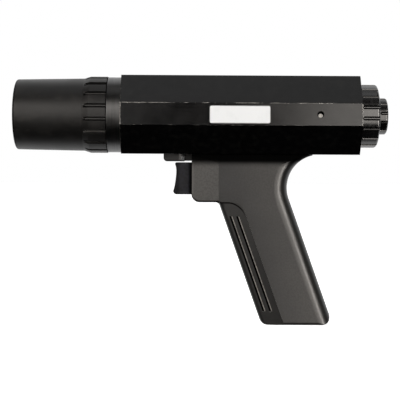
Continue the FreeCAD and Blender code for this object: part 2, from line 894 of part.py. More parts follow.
def make_tube_holder():
    x_back = x_housing + holder_flange_thickness
    body = rod_x(x_holder_boss, x_housing, nose_bore_radius - holder_boss_clearance)
    body = body.fuse(rod_x(x_housing, x_back, holder_flange_radius))
    ears = box(x_housing, x_back, -holder_ear_reach, holder_ear_reach,
               -holder_ear_height / 2, holder_ear_height / 2)
    body = body.fuse(ears)
    for side in (-1, 1):
        y = side * tube_leg_offset
        body = body.cut(rod_x(x_holder_boss, x_holder_boss + tube_sink,
                              tube_radius + tube_clearance, y))
        body = body.cut(rod_x(x_holder_boss, x_back, electrode_radius + tube_clearance, y))
        body = body.cut(rod_x(x_housing, x_back, m2_5_pan[0] + screw_clearance,
                              side * holder_screw_reach))
    return whole(body)


def make_holder_screws():
    seat = x_housing + holder_flange_thickness
    return Part.makeCompound([screw(V(seat, side * holder_screw_reach, 0), V(-1, 0, 0), m2_5_pan,
                                    holder_screw_length) for side in (-1, 1)])


# ---------------------------------------------------------------- circuit board

x_board = x_housing + board_start
board_top = -board_drop
board_half = inner_wall_y(board_top - board_thickness) - board_side_slack


def make_circuit_board():
    return box(x_board, x_board + board_length, -board_half, board_half,
               board_top - board_thickness, board_top)


def make_storage_capacitor():
    x0 = x_board + capacitor_spot[0]
    y = -board_half + capacitor_spot[1]
    z = board_top + capacitor_radius
    body = rod_x(x0, x0 + capacitor_length, capacitor_radius, y, z)
    low = x0 + capacitor_crimp
    high = low + capacitor_crimp_width
    crimp = rod_x(low, high, capacitor_radius + cut_past, y, z)
    crimp = crimp.cut(rod_x(low, high, capacitor_radius - capacitor_crimp_depth, y, z))
    return whole(body.cut(crimp))


x_core = x_board + core_spot[0]
y_core = -board_half + core_spot[1] + core_width / 2


def make_transformer_core():
    half = core_width / 2
    block = box(x_core, x_core + core_length, y_core - half, y_core + half,
                board_top, board_top + core_height)
    window_low = board_top + core_leg
    window_high = board_top + core_height - core_leg
    for side in (-1, 1):
        ends = sorted((y_core + side * core_middle_leg / 2, y_core + side * (half - core_leg)))
        block = block.cut(box(x_core, x_core + core_length, ends[0], ends[1], window_low, window_high))
    return whole(block)


def make_transformer_winding():
    """The bobbin's coil around the core's middle leg, bulging at both ends."""
    middle = core_middle_leg / 2 + winding_gap
    outer = core_width / 2 - core_leg - winding_gap
    low = board_top + core_leg + winding_gap
    high = board_top + core_height - core_leg - winding_gap
    coil = box(x_core - winding_bulge, x_core + core_length + winding_bulge,
               y_core - outer, y_core + outer, low, high)
    hole = box(x_core - winding_gap, x_core + core_length + winding_gap,
               y_core - middle, y_core + middle, low, high)
    return whole(coil.cut(hole))


def make_trigger_coil():
    x = x_board + trigger_coil_spot[0]
    y = board_half - trigger_coil_spot[1]
    top = board_top + trigger_coil_height
    coil = rod_z(board_top, top, trigger_coil_radius, x, y)
    cap = rod_z(top, top + coil_cap_height, coil_cap_radius, x, y)
    return whole(coil.fuse(cap))


x_sink = x_board + heat_sink_spot[0]
y_sink = -board_half + heat_sink_spot[1]


def make_heat_sink():
    top = board_top + heat_sink_height
    base = box(x_sink, x_sink + heat_sink_base, y_sink, y_sink + heat_sink_width, board_top, top)
    step = (heat_sink_width - fin_thickness) / (heat_sink_fins - 1)
    fins = [box(x_sink + heat_sink_base, x_sink + heat_sink_depth, y_sink + step * i,
                y_sink + step * i + fin_thickness, board_top, top) for i in range(heat_sink_fins)]
    return whole(base.fuse(fins))


def make_power_transistor():
    middle = y_sink + heat_sink_width / 2
    half = transistor_width / 2
    foot = board_top + transistor_foot
    x_case = x_sink - transistor_tab
    x_leg = x_case - transistor_case / 2
    tab = box(x_case, x_sink, middle - half, middle + half, foot, foot + transistor_tab_height)
    case = box(x_case - transistor_case, x_case, middle - half, middle + half,
               foot, foot + transistor_case_height)
    legs = []
    for i in (-1, 0, 1):
        y = middle + pin_pitch * i
        legs.append(box(x_leg, x_leg + pin_thickness, y - pin_width / 2, y + pin_width / 2,
                        board_top, foot))
    return whole(tab.fuse([case] + legs))


def make_timing_chip():
    x0 = x_board + chip_spot[0]
    y0 = board_half - chip_spot[1]
    foot = board_top + chip_foot
    case = box(x0, x0 + chip_length, y0, y0 + chip_width, foot, foot + chip_thickness)
    pins = []
    for i in range(chip_pins):
        x = x0 + chip_pin_start + pin_pitch * i
        for y in (y0 - chip_pin_reach, y0 + chip_width):
            pins.append(box(x, x + chip_pin_width, y, y + chip_pin_reach,
                            board_top, board_top + chip_pin_height))
    return whole(case.fuse(pins))


def resistor(x, y):
    z = board_top + resistor_radius + resistor_foot
    near = y - resistor_lead
    far = y + resistor_length + resistor_lead
    body = rod_y(y, y + resistor_length, resistor_radius, x, z)
    wire = rod_y(near, far, lead_radius, x, z)
    legs = [rod_z(board_top, z, lead_radius, x, end) for end in (near, far)]
    return whole(body.fuse([wire] + legs))


def make_resistors():
    y = board_half - resistor_spot[1]
    return Part.makeCompound([resistor(x_board + resistor_spot[0] + resistor_pitch * i, y)
                              for i in range(resistor_count)])


def make_film_capacitors():
    y = board_half - film_capacitor_side
    return Part.makeCompound([box(x_board + x, x_board + x + film_capacitor_length,
                                  y, y + film_capacitor_width,
                                  board_top, board_top + film_capacitor_height)
                              for x in film_capacitor_starts])


def make_terminal_block():
    x0 = x_board + board_length - terminal_inset - terminal_depth
    half = terminal_ways * terminal_pitch / 2
    top = board_top + terminal_height
    floor = board_top + terminal_mouth_floor
    block = box(x0, x0 + terminal_depth, -half, half, board_top, top)
    for i in range(terminal_ways):
        y = -half + terminal_pitch * (i + 0.5)
        block = block.cut(rod_z(top - terminal_screw_depth, top, terminal_screw_radius,
                                x0 + terminal_depth / 2, y))
        block = block.cut(box(x0, x0 + terminal_mouth, y - terminal_mouth / 2, y + terminal_mouth / 2,
                              floor, floor + terminal_mouth_height))
    return whole(block)


# ---------------------------------------------------------------- rear chassis and knobs

x_plate_face = x_housing_rear - chassis_inset
x_plate = x_plate_face - chassis_plate
x_bushing_end = x_plate + bushing_length


def make_rear_chassis():
    plate = octagon_prism(housing_wall + chassis_clearance, x_plate, x_plate_face)
    outer = housing_width / 2 - housing_wall - chassis_clearance
    inner = outer - chassis_arm_thickness
    pad = inner - side_screw_pad
    x_arm = x_plate_face - chassis_arm_length
    low_edge = -board_drop + board_slack + guide_thickness + chassis_clearance
    arms = box(x_arm, x_plate_face, -outer, outer, low_edge, low_edge + chassis_arm_height)
    arms = arms.fuse(rod_y(-outer, outer, side_screw_pad_radius, x_side_screw, 0))
    clear = box(x_arm, x_plate, -inner, inner, low_edge - cut_past,
                low_edge + chassis_arm_height + cut_past)
    pads = rod_y(-outer, -pad, side_screw_pad_radius, x_side_screw, 0)
    pads = pads.fuse(rod_y(pad, outer, side_screw_pad_radius, x_side_screw, 0))
    section = octagon_prism(housing_wall + chassis_clearance, x_arm, x_plate_face)
    body = plate.fuse([arms.cut(clear), pads]).common(section)
    body = body.cut(rod_x(x_plate, x_plate_face, bushing_radius + shaft_clearance))
    for side in (-1, 1):
        ends = sorted((side * pad, side * outer))
        body = body.cut(rod_y(ends[0], ends[1], m2_5_pan[0] + thread_fit, x_side_screw, 0))
    return whole(body)


def make_side_screws():
    seat = housing_width / 2 - side_screw_recess
    return Part.makeCompound([screw(V(x_side_screw, side * seat, 0), V(0, -side, 0), m2_5_pan,
                                    side_screw_length) for side in (-1, 1)])


def make_potentiometer():
    x_rear = x_plate - pot_length
    x_waist = x_plate - pot_length / 2
    body = rod_x(x_rear, x_plate, pot_radius)
    waist = rod_x(x_waist - pot_waist_width / 2, x_waist + pot_waist_width / 2, pot_radius + cut_past)
    waist = waist.cut(rod_x(x_waist - pot_waist_width / 2, x_waist + pot_waist_width / 2,
                            pot_radius - pot_waist_depth))
    body = body.cut(waist)
    bushing = rod_x(x_plate, x_bushing_end, bushing_radius)
    tags = []
    for row in pot_tag_rows:
        for i in (-1, 0, 1):
            y = pot_tag_pitch * i
            tags.append(box(x_rear + row, x_rear + row + tag_thickness, y - tag_width / 2,
                            y + tag_width / 2, pot_radius / 2, pot_radius + pot_tag_reach))
    body = body.fuse([bushing] + tags)
    hole = rod_x(x_waist, x_bushing_end, outer_shaft_radius + shaft_clearance)
    return whole(body.cut(hole))


def make_pot_washer():
    washer = rod_x(x_plate_face, x_plate_face + washer_thickness, bushing_radius + washer_rim)
    return whole(washer.cut(rod_x(x_plate_face, x_plate_face + washer_thickness,
                                  bushing_radius + shaft_clearance)))


def make_pot_nut():
    x0 = x_plate_face + washer_thickness
    nut = hex_prism(V(x0, 0, 0), V(1, 0, 0), nut_width, nut_height)
    return whole(nut.cut(rod_x(x0, x0 + nut_height, bushing_radius + thread_fit)))


x_outer_shaft = x_plate - pot_length / 2 + shaft_end_gap
x_outer_shaft_end = x_dial_face - dial_face_wall / 2
x_hub = x_bushing_end + hub_gap
x_dial_screw = (x_hub + x_dial_face - dial_face_wall) / 2 + set_screw_shift


def make_outer_shaft():
    shaft = rod_x(x_outer_shaft, x_outer_shaft_end, outer_shaft_radius)
    return whole(shaft.cut(rod_x(x_outer_shaft, x_outer_shaft_end,
                                 inner_shaft_radius + shaft_clearance)))


x_inner_shaft_end = x_knob_face - knob_face_wall
x_knob_screw = (x_knob + x_inner_shaft_end) / 2


def make_inner_shaft():
    return rod_x(x_outer_shaft, x_inner_shaft_end, inner_shaft_radius)


def make_dial_knob():
    skirt = dial_radius - dial_skirt_wall
    body = rod_x(x_dial, x_dial_face, dial_radius)
    body = round_rims(body, [(x_dial_face, dial_radius)], dial_round)
    body = body.cut(rod_x(x_dial, x_dial_face - dial_face_wall, skirt))
    body = body.fuse(rod_x(x_hub, x_dial_face - dial_face_wall, dial_hub_radius))
    body = body.cut(rod_x(x_dial, x_outer_shaft_end, outer_shaft_radius + press_fit))
    body = body.cut(rod_x(x_dial, x_dial_face, inner_shaft_radius + 2 * shaft_clearance))
    groove = round_groove(x_dial + dial_groove_start, x_dial_face + cut_past, dial_radius,
                          dial_groove_depth, dial_groove_width)
    grooves = [about_axis(groove, dial_groove_phase + 360 / dial_groove_count * i)
               for i in range(dial_groove_count)]
    body = body.cut(grooves)
    body = body.cut(rod_z(-dial_radius, -outer_shaft_radius, set_screw_radius + thread_fit,
                          x_dial_screw))
    return whole(body)


def set_screw(x, foot_radius):
    body = rod_z(-foot_radius - set_screw_length, -foot_radius, set_screw_radius, x)
    drive = hex_prism(V(x, 0, -foot_radius - set_screw_length), V(0, 0, 1), set_screw_radius,
                      set_screw_drive)
    return whole(body.cut(drive))


def make_centre_knob():
    body = rod_x(x_knob, x_knob_face, knob_radius)
    body = round_rims(body, [(x_knob_face, knob_radius)], knob_round)
    body = body.cut(rod_x(x_knob, x_inner_shaft_end, inner_shaft_radius + press_fit))
    groove = round_groove(x_knob + knob_groove_start, x_knob_face + cut_past, knob_radius,
                          knob_groove_depth, knob_groove_width)
    grooves = [about_axis(groove, knob_groove_phase + 360 / knob_groove_count * i)
               for i in range(knob_groove_count)]
    body = body.cut(grooves)
    body = body.cut(rod_z(-knob_radius, -inner_shaft_radius, set_screw_radius + thread_fit,
                          x_knob_screw))
    return whole(body)


# ---------------------------------------------------------------- label plate

def make_label_plate():
    x0 = x_housing + label_start
    x1 = x0 + label_length
    z0 = -label_drop - label_height / 2
    z1 = -label_drop + label_height / 2
    y_face = -housing_width / 2
    outline = [(x0, z0, label_corner), (x1, z0, label_corner),
               (x1, z1, label_corner), (x0, z1, label_corner)]
    return prism_y(outline, y_face - label_thickness, y_face)


# ---------------------------------------------------------------- grip

z_under = grip_height
z_block = z_under - block_height
x_strap_top = x_grip + block_length
x_root = x_grip + root_length
blank_rise = 15.0           # the grip's blank goes this far above its top face
blank_reach = 20.0          # and this far beyond its ends


def strap_x(z):
    """The front edge of the slanted handle at height z."""
    return x_strap_top + (z_block - z) * tan(slant)


def back_x(z):
    """The straight rear edge of the handle at height z."""
    return x_root + (z_under - z) * tan(slant)


tail_centre_x = x_root + tail_radius * tan(radians((90 + grip_slant) / 2))
x_tail = tail_centre_x - sqrt(tail_radius ** 2 - (tail_radius - tail_thickness) ** 2)


def grip_outline(inset, top):
    """The grip's side outline moved in by inset, closed off at height top."""
    shift = inset / cos(slant)
    x_front = x_grip + inset
    z_low = z_block + inset
    z_base = inset
    front_line = strap_x(0) + shift
    back_line = back_x(0) - shift
    z_high = z_under + inset        # under the tail, inwards is up
    x_far = x_tail + blank_reach
    return [
        (x_front, top, 0),
        (x_front, z_low, block_front_round - inset),
        (front_line - z_low * tan(slant), z_low, strap_round + inset),
        (front_line - z_base * tan(slant), z_base, base_round - inset),
        (back_line - z_base * tan(slant), z_base, base_round - inset),
        (back_line - z_high * tan(slant), z_high, tail_radius + inset),
        (x_far, z_high, 0),
        (x_far, top, 0)]


def strap_face_y(offset):
    """Depth of the recessed front strap at this distance from its front edge."""
    return -grip_half_width + strap_step + strap_taper * (strap_width - offset) / strap_width


def strap_cutter():
    """What is taken off the left side along the front strap."""
    beyond = strap_width
    outside = -grip_half_width - blank_reach
    z_low = -cut_past
    x0 = strap_x(z_low)
    y_front = strap_face_y(0) + strap_edge_round
    corners = [(x0 + strap_width, strap_face_y(strap_width), 0), (x0, strap_face_y(0), strap_edge_round),
               (x0, y_front, 0), (x0 - beyond, y_front, 0), (x0 - beyond, outside, 0),
               (x0 + strap_width, outside, 0)]
    section = Part.Face(rounded_wire(corners))
    section.rotate(V(0, 0, 0), V(1, 0, 0), -90)         # turns the upright outline level
    section.translate(V(0, 0, z_low))
    rise = z_block - z_low
    cutter = section.extrude(V(-rise * tan(slant), 0, rise))
    window = [(x_grip - beyond, z_low, 0), (strap_x(z_low) + strap_width, z_low, 0),
              (strap_x(z_block) + strap_width, z_block, strap_corner), (x_grip - beyond, z_block, 0)]
    return cutter.common(prism_y(window, outside, 0))


def strap_groove(offset):
    """One long groove in the strap, with round ends."""
    bottom_y = strap_face_y(offset) + strap_groove_depth
    z_high = z_block - strap_groove_top
    z_low = strap_groove_bottom
    half = strap_groove_width / 2
    run = half / cos(slant)
    x_high = strap_x(z_high) + offset
    x_low = strap_x(z_low) + offset
    bar = prism_y([(x_high - run, z_high, 0), (x_high + run, z_high, 0),
                   (x_low + run, z_low, 0), (x_low - run, z_low, 0)],
                  -grip_half_width, bottom_y)
    ends = [rod_y(-grip_half_width, bottom_y, half, x, z)
            for x, z in ((x_high, z_high), (x_low, z_low))]
    return bar.fuse(ends)


def block_cutter():
    """What is taken off the left side so that the block narrows to its front."""
    outside = -grip_half_width - blank_reach
    lead = block_length / 2
    y_front = -grip_half_width + block_taper * (1 + lead / block_length)
    corners = [V(x_grip + block_length, -grip_half_width, 0), V(x_grip - lead, y_front, 0),
               V(x_grip - lead, outside, 0), V(x_grip + block_length, outside, 0)]
    section = Part.Face(Part.makePolygon(corners + corners[:1]))
    section.translate(V(0, 0, z_block))
    return section.extrude(V(0, 0, block_height + blank_rise))


def crown_cutter(inset):
    """What the turned-in top takes off the left side, for the skin moved in by inset."""
    y_centre = crown_round - grip_half_width
    z_centre = z_under - crown_round
    x0 = x_grip - blank_reach
    x1 = x_tail + blank_reach
    corner = box(x0, x1, -grip_half_width - blank_reach, y_centre, z_centre, z_under + blank_rise)
    return corner.cut(rod_x(x0, x1, crown_round - inset, y_centre, z_centre))


def back_form():
    """A block wider than the grip, whose rear edge has the palm's large round."""
    x_near = x_grip - blank_reach
    x_far = x_tail + blank_reach
    top = z_under + blank_rise
    outline = [(x_near, top, 0), (x_near, -blank_reach, 0), (back_x(-blank_reach), -blank_reach, 0),
               (back_x(z_under), z_under, tail_radius), (x_far, z_under, 0), (x_far, top, 0)]
    block = prism_y(outline, -grip_half_width, 0)
    rear = []
    for edge in block.Edges:
        ends = [vertex.Point for vertex in edge.Vertexes]
        if all(abs(point.y + grip_half_width) < 1e-4 and point.x < tail_centre_x + 1e-4
               and point.x > back_x(point.z) - 1e-4 for point in ends):
            rear.append(edge)
    return block.makeFillet(back_round, rear)


def grip_skin():
    """The left half's outside form, solid, below the housing."""
    blank = prism_y(grip_outline(0, z_under + blank_rise), -grip_half_width, 0)
    rim = []
    for edge in blank.Edges:
        ends = [vertex.Point for vertex in edge.Vertexes]
        on_face = all(abs(point.y + grip_half_width) < 1e-4 for point in ends)
        above = all(point.z > z_under + blank_rise / 2 for point in ends)
        at_end = all(point.x > tail_centre_x + 1e-4 for point in ends)
        if on_face and not above and not at_end:
            rim.append(edge)
    blank = blank.makeFillet(edge_round, rim).common(back_form())
    x_far = x_tail + blank_reach
    top = box(x_grip, x_far, -grip_half_width, 0, z_under, z_under + blank_rise)
    tail = box(x_tail, x_far, -grip_half_width, 0, z_under - tail_radius, z_under)
    skin = blank.cut(top).cut(tail)
    skin = skin.cut(block_cutter()).cut(strap_cutter()).cut(crown_cutter(0))
    for offset in strap_groove_offsets:
        skin = skin.cut(strap_groove(offset))
    return skin


def clear_of_back(inset):
    """The side outline of all that lies at least inset ahead of the rear edge."""
    shift = inset / cos(slant)
    x_far = x_tail + blank_reach
    z_high = z_under + inset
    top = z_under + blank_rise
    return [(x_grip, 0, 0), (back_x(0) - shift, 0, 0),
            (back_x(z_high) - shift, z_high, tail_radius + inset), (x_far, z_high, 0),
            (x_far, top, 0), (x_grip, top, 0)]


def grip_cavity():
    """The left half's hollow: shallow at the front, deeper behind the strap, stepped at the rear."""
    top = z_under - grip_wall
    deep = grip_half_width - grip_wall
    inner_radius = tail_radius + grip_wall
    tail_rise = tail_radius - grip_wall - cavity_tail_height
    reach = sqrt(inner_radius ** 2 - tail_rise ** 2)
    upper = box(x_grip, tail_centre_x - reach, -grip_half_width, 0, 0, top)
    lower = box(x_grip, x_tail + blank_reach, -grip_half_width, 0, 0, z_under - tail_radius)
    limit = upper.fuse(lower)
    outline = grip_outline(grip_wall, z_under + blank_rise)
    front = prism_y(outline, -cavity_front_depth, 0)
    x_far = back_x(0) + blank_reach
    behind = prism_y([(strap_x(0) + strap_width + strap_wall, 0, 0), (x_far, 0, 0), (x_far, top, 0),
                      (strap_x(top) + strap_width + strap_wall, top, 0)], -deep, 0)
    middle = prism_y(outline, cavity_step - deep, 0).common(behind)
    inner = prism_y(clear_of_back(grip_wall + cavity_step), -deep, 0)
    back = prism_y(outline, -deep, 0).common(behind).common(inner)
    return front.fuse(middle).fuse(back).common(limit).cut(crown_cutter(grip_wall))


left_skin = grip_skin()
left_cavity = grip_cavity()


# ---------------------------------------------------------------- trigger group places

z_trigger_top = z_under - trigger_top_drop
z_trigger = z_trigger_top - trigger_height
x_stem = x_grip + trigger_stem
x_switch = x_stem + switch_gap
z_switch_top = z_trigger_top - switch_drop
z_plunger = z_switch_top - switch_height / 2
z_spring = z_trigger_top - spring_drop
x_spring_seat = x_stem + spring_length
x_socket = strap_x(0) + (back_x(0) - strap_x(0)) * socket_along
screw_spots = [(x_grip + along, z_under - down) for along, down in grip_screw_spots]


def on_rail(index):
    return index < 2


def boss_end(index):
    """How close a boss comes to the middle: it stops at the rail where it meets it."""
    return rail_width / 2 + rail_clearance if on_rail(index) else 0.0


def make_grip_half(side):
    """side -1 is the left half, +1 the right half, which takes the screw heads."""
    half = left_skin.cut(left_cavity)
    bosses = []
    for index, (x, z) in enumerate(screw_spots):
        bosses.append(rod_y(-grip_half_width, -boss_end(index), boss_radius, x, z))
    x_peg = x_switch + switch_length / 2
    y_shoulder = -switch_half_width - switch_side_gap
    shoulder = rod_y(-grip_half_width, y_shoulder, switch_peg_radius + switch_peg_shoulder,
                     x_peg, z_plunger)
    seat = box(x_spring_seat, x_spring_seat + spring_seat, -grip_half_width, 0,
               z_spring - spring_radius - spring_seat_rim, z_under - rail_depth - spring_seat_gap)
    half = half.fuse([piece.common(left_skin) for piece in bosses + [shoulder, seat]])
    peg = rod_y(y_shoulder - cut_past, y_shoulder + switch_peg_length, switch_peg_radius,
                x_peg, z_plunger)
    half = half.fuse(peg)
    # the saddle's rail passes through the front wall and the top wall
    rail_half = rail_width / 2 + rail_clearance
    half = half.cut(box(x_grip, x_grip + rail_end + rail_clearance, -rail_half, 0,
                        z_under - saddle_neck_depth - rail_clearance, z_under))
    # window for the trigger
    half = half.cut(box(x_grip, x_grip + grip_wall + flange_gap,
                        -trigger_half_width - trigger_clearance, 0,
                        z_trigger - trigger_clearance, z_trigger_top + trigger_clearance))
    # lead socket
    half = half.cut(rod_z(0, socket_length, socket_radius + socket_fit, x_socket))
    half = half.cut(rod_z(0, socket_flange + socket_fit, socket_flange_radius + socket_fit, x_socket))
    if side > 0:
        half = half.mirror(V(0, 0, 0), V(0, 1, 0))
        thread, head_radius, head_height = m3_pan
        for index, (x, z) in enumerate(screw_spots):
            half = half.cut(rod_y(boss_end(index), grip_half_width, thread + screw_clearance, x, z))
            half = half.cut(rod_y(grip_half_width - grip_screw_recess, grip_half_width,
                                  head_radius + screw_clearance, x, z))
    else:
        for index, (x, z) in enumerate(screw_spots):
            half = half.cut(rod_y(-boss_end(index) - grip_screw_grip, -boss_end(index),
                                  m3_pan[0] + thread_fit, x, z))
    return whole(half)


def make_grip_screws():
    screws = []
    for index, (x, z) in enumerate(screw_spots):
        seat = grip_half_width - grip_screw_recess
        length = seat + boss_end(index) + grip_screw_grip - tip_room
        screws.append(screw(V(x, seat, z), V(0, -1, 0), m3_pan, length))
    return Part.makeCompound(screws)


# ---------------------------------------------------------------- saddle

def make_grip_saddle():
    x_nose_front = x_grip - saddle_reach
    x_nose_rear = x_nose_front + saddle_nose_length
    z_nose = z_under - saddle_depth
    nose = box(x_nose_front, x_nose_rear, -saddle_nose_width / 2, saddle_nose_width / 2, z_nose, z_under)
    corners = [edge for edge in nose.Edges
               if abs(edge.Vertexes[0].Point.z - edge.Vertexes[-1].Point.z) > saddle_depth / 2
               and edge.Vertexes[0].Point.x > x_nose_rear - 1e-4]
    nose = nose.makeFillet(saddle_neck_round, corners)
    lower_front = [edge for edge in nose.Edges
                   if all(abs(vertex.Point.x - x_nose_front) < 1e-4
                          and abs(vertex.Point.z - z_nose) < 1e-4 for vertex in edge.Vertexes)]
    nose = nose.makeFillet(saddle_nose_round, lower_front)
    half = rail_width / 2
    neck = box(x_nose_front + saddle_nose_length / 2, x_grip + rail_end, -half, half,
               z_under - saddle_neck_depth, z_under)
    rail = box(x_grip + rail_start, x_grip + rail_end, -half, half, z_under - rail_depth, z_under)
    body = nose.fuse([neck, rail])
    for index, (x, z) in enumerate(screw_spots):
        if on_rail(index):
            body = body.cut(rod_y(-half, half, m3_pan[0] + screw_clearance, x, z))
    thread, head_radius, head_height = m4
    for x in saddle_screw_x:
        body = body.cut(rod_z(z_under - rail_depth, z_under, thread + screw_clearance, x))
        body = body.cut(rod_z(z_under - rail_depth, z_under - rail_depth + head_height + head_sink,
                              head_radius + screw_clearance, x))
    body = body.cut(rod_z(z_under - rail_depth, z_under, loom_hole_radius, x_loom_hole))
    return whole(body)


def make_saddle_screws():
    seat = z_under - rail_depth + m4[2] + head_sink
    length = z_under + housing_wall + saddle_nut_height - seat + saddle_screw_spare
    return Part.makeCompound([screw(V(x, 0, seat), V(0, 0, 1), m4, length) for x in saddle_screw_x])


def make_saddle_nuts():
    z0 = z_under + housing_wall
    nuts = []
    for x in saddle_screw_x:
        nut = hex_prism(V(x, 0, z0), V(0, 0, 1), saddle_nut_width, saddle_nut_height)
        nuts.append(whole(nut.cut(rod_z(z0, z0 + saddle_nut_height, m4[0] + thread_fit, x))))
    return Part.makeCompound(nuts)


# ---------------------------------------------------------------- trigger, spring and switch

def make_trigger():
    x_top = x_grip - trigger_reach
    x_lip = x_grip - trigger_lip_reach
    x_hollow = x_top + trigger_hollow
    z_top = z_trigger_top
    z_bottom = z_trigger
    start = V(x_stem, 0, z_top)
    front_top = V(x_top + trigger_top_round, 0, z_top)
    front_side = V(x_top, 0, z_top - trigger_top_round)
    lip_side = V(x_lip, 0, z_bottom + trigger_lip_round)
    lip_low = V(x_lip + trigger_lip_round, 0, z_bottom)
    # the hollow for the finger runs down the front and turns out again into the lower lip
    curve = Part.BSplineCurve()
    curve.interpolate([front_side, V(x_hollow, 0, z_top - trigger_height * 0.14),
                       V(x_hollow + 0.1, 0, z_top - trigger_height * 0.42),
                       V((x_hollow + x_lip) / 2, 0, z_bottom + trigger_height * 0.26), lip_side])
    arc_share = 1 - cos(radians(45))
    top_in = trigger_top_round * arc_share
    lip_in = trigger_lip_round * arc_share
    edges = [
        Part.LineSegment(start, front_top).toShape(),
        Part.Arc(front_top, V(x_top + top_in, 0, z_top - top_in), front_side).toShape(),
        curve.toShape(),
        Part.Arc(lip_side, V(x_lip + lip_in, 0, z_bottom + lip_in), lip_low).toShape(),
        Part.LineSegment(lip_low, V(x_stem, 0, z_bottom)).toShape(),
        Part.LineSegment(V(x_stem, 0, z_bottom), start).toShape()]
    face = Part.Face(Part.Wire(edges))
    face.translate(V(0, -trigger_half_width, 0))
    body = face.extrude(V(0, 2 * trigger_half_width, 0))
    x_flange = x_grip + grip_wall + flange_gap
    reach = trigger_half_width + flange_overhang
    body = body.fuse(box(x_flange, x_flange + flange_thickness, -reach, reach, z_bottom, z_top))
    post = rod_x(x_stem, x_stem + spring_post_length, spring_post_radius, 0, z_spring)
    return whole(body.fuse(post))


def make_trigger_spring():
    length = x_spring_seat - x_stem - 2 * spring_wire
    pitch = length / spring_turns
    path = Part.Wire(Part.makeHelix(pitch, length, spring_radius))
    circle = Part.Circle(V(spring_radius, 0, 0), V(0, 1, 0), spring_wire)
    coil = path.makePipeShell([Part.Wire(circle.toShape())], True, True)
    coil.rotate(V(0, 0, 0), V(0, 1, 0), 90)
    coil.translate(V(x_stem + spring_wire, 0, z_spring))
    return coil


def make_trigger_switch():
    z0 = z_switch_top - switch_height
    body = box(x_switch, x_switch + switch_length, -switch_half_width, switch_half_width,
               z0, z_switch_top)
    bore = plunger_half_width + plunger_clearance
    rise = plunger_height / 2 + plunger_clearance
    slot = box(x_switch, x_switch + plunger_sink + trigger_travel, -bore, bore,
               z_plunger - rise, z_plunger + rise)
    body = body.cut(slot)
    x_peg = x_switch + switch_length / 2
    deep = switch_peg_length + tip_room
    for y in (-switch_half_width, switch_half_width - deep):
        body = body.cut(rod_y(y, y + deep, switch_peg_radius + thread_fit, x_peg, z_plunger))
    x_rear = x_switch + switch_length
    tags = []
    for i in range(switch_tags):
        z = z0 + switch_tag_start + switch_tag_pitch * i
        tags.append(box(x_rear, x_rear + switch_tag_reach, -tag_thickness / 2, tag_thickness / 2,
                        z, z + tag_width))
    return whole(body.fuse(tags))


def make_switch_plunger():
    return box(x_stem + plunger_touch, x_switch + plunger_sink - plunger_clearance, -plunger_half_width,
               plunger_half_width, z_plunger - plunger_height / 2, z_plunger + plunger_height / 2)


# ---------------------------------------------------------------- lead socket

def make_socket_shell():
    body = rod_z(0, socket_length, socket_radius, x_socket)
    body = body.fuse(rod_z(0, socket_flange, socket_flange_radius, x_socket))
    body = body.cut(rod_z(0, socket_depth, socket_bore_radius, x_socket))
    return whole(body.cut(rod_z(socket_depth, socket_length, socket_seat_radius, x_socket)))


z_insert = socket_depth + insert_recess
z_insert_top = socket_length + insert_stand


def contact_places():
    places = []
    for i in range(contact_count):
        angle = radians(contact_turn + 360 / contact_count * i)
        places.append((x_socket + contact_circle * cos(angle), contact_circle * sin(angle)))
    return places


def make_socket_insert():
    body = rod_z(z_insert, z_insert_top, socket_seat_radius - insert_fit, x_socket)
    for x, y in contact_places():
        body = body.cut(rod_z(z_insert, z_insert_top, contact_radius + insert_fit, x, y))
    return whole(body)


def make_socket_contacts():
    pieces = []
    for x, y in contact_places():
        contact = rod_z(z_insert, z_insert_top + contact_tail, contact_radius, x, y)
        pieces.append(whole(contact.cut(rod_z(z_insert, socket_length, contact_bore_radius, x, y))))
    return Part.makeCompound(pieces)


def make_socket_nut():
    z0 = grip_wall
    nut = hex_prism(V(x_socket, 0, z0), V(0, 0, 1), socket_nut_width, socket_nut_height)
    return whole(nut.cut(rod_z(z0, z0 + socket_nut_height, socket_radius + thread_fit, x_socket)))


# ---------------------------------------------------------------- wire loom

def make_wire_loom():
    """From the socket's contacts up the handle, through the saddle, to the board."""
    z_start = z_insert_top + contact_tail
    z_board = axis_height + board_top - board_thickness
    x_top = x_loom_hole
    route = [V(x_socket, 0, z_start), V(x_socket, 0, z_start + loom_rise),
             V(x_top, 0, z_under - rail_depth - loom_top_run), V(x_top, 0, z_board)]
    edges = []
    here = route[0]
    for i in (1, 2):
        back = (route[i - 1] - route[i]).normalize()
        ahead = (route[i + 1] - route[i]).normalize()
        half_angle = back.getAngle(ahead) / 2
        setback = loom_turn_radius / tan(half_angle)
        inward = (back + ahead).normalize()
        middle = route[i] + inward * (loom_turn_radius / sin(half_angle) - loom_turn_radius)
        start = route[i] + back * setback
        end = route[i] + ahead * setback
        edges.append(Part.LineSegment(here, start).toShape())
        edges.append(Part.Arc(start, middle, end).toShape())
        here = end
    edges.append(Part.LineSegment(here, route[-1]).toShape())
    section = Part.Wire(Part.makeCircle(loom_radius, route[0], V(0, 0, 1)))
    return Part.Wire(edges).makePipeShell([section], True, True)


# ---------------------------------------------------------------- save every piece

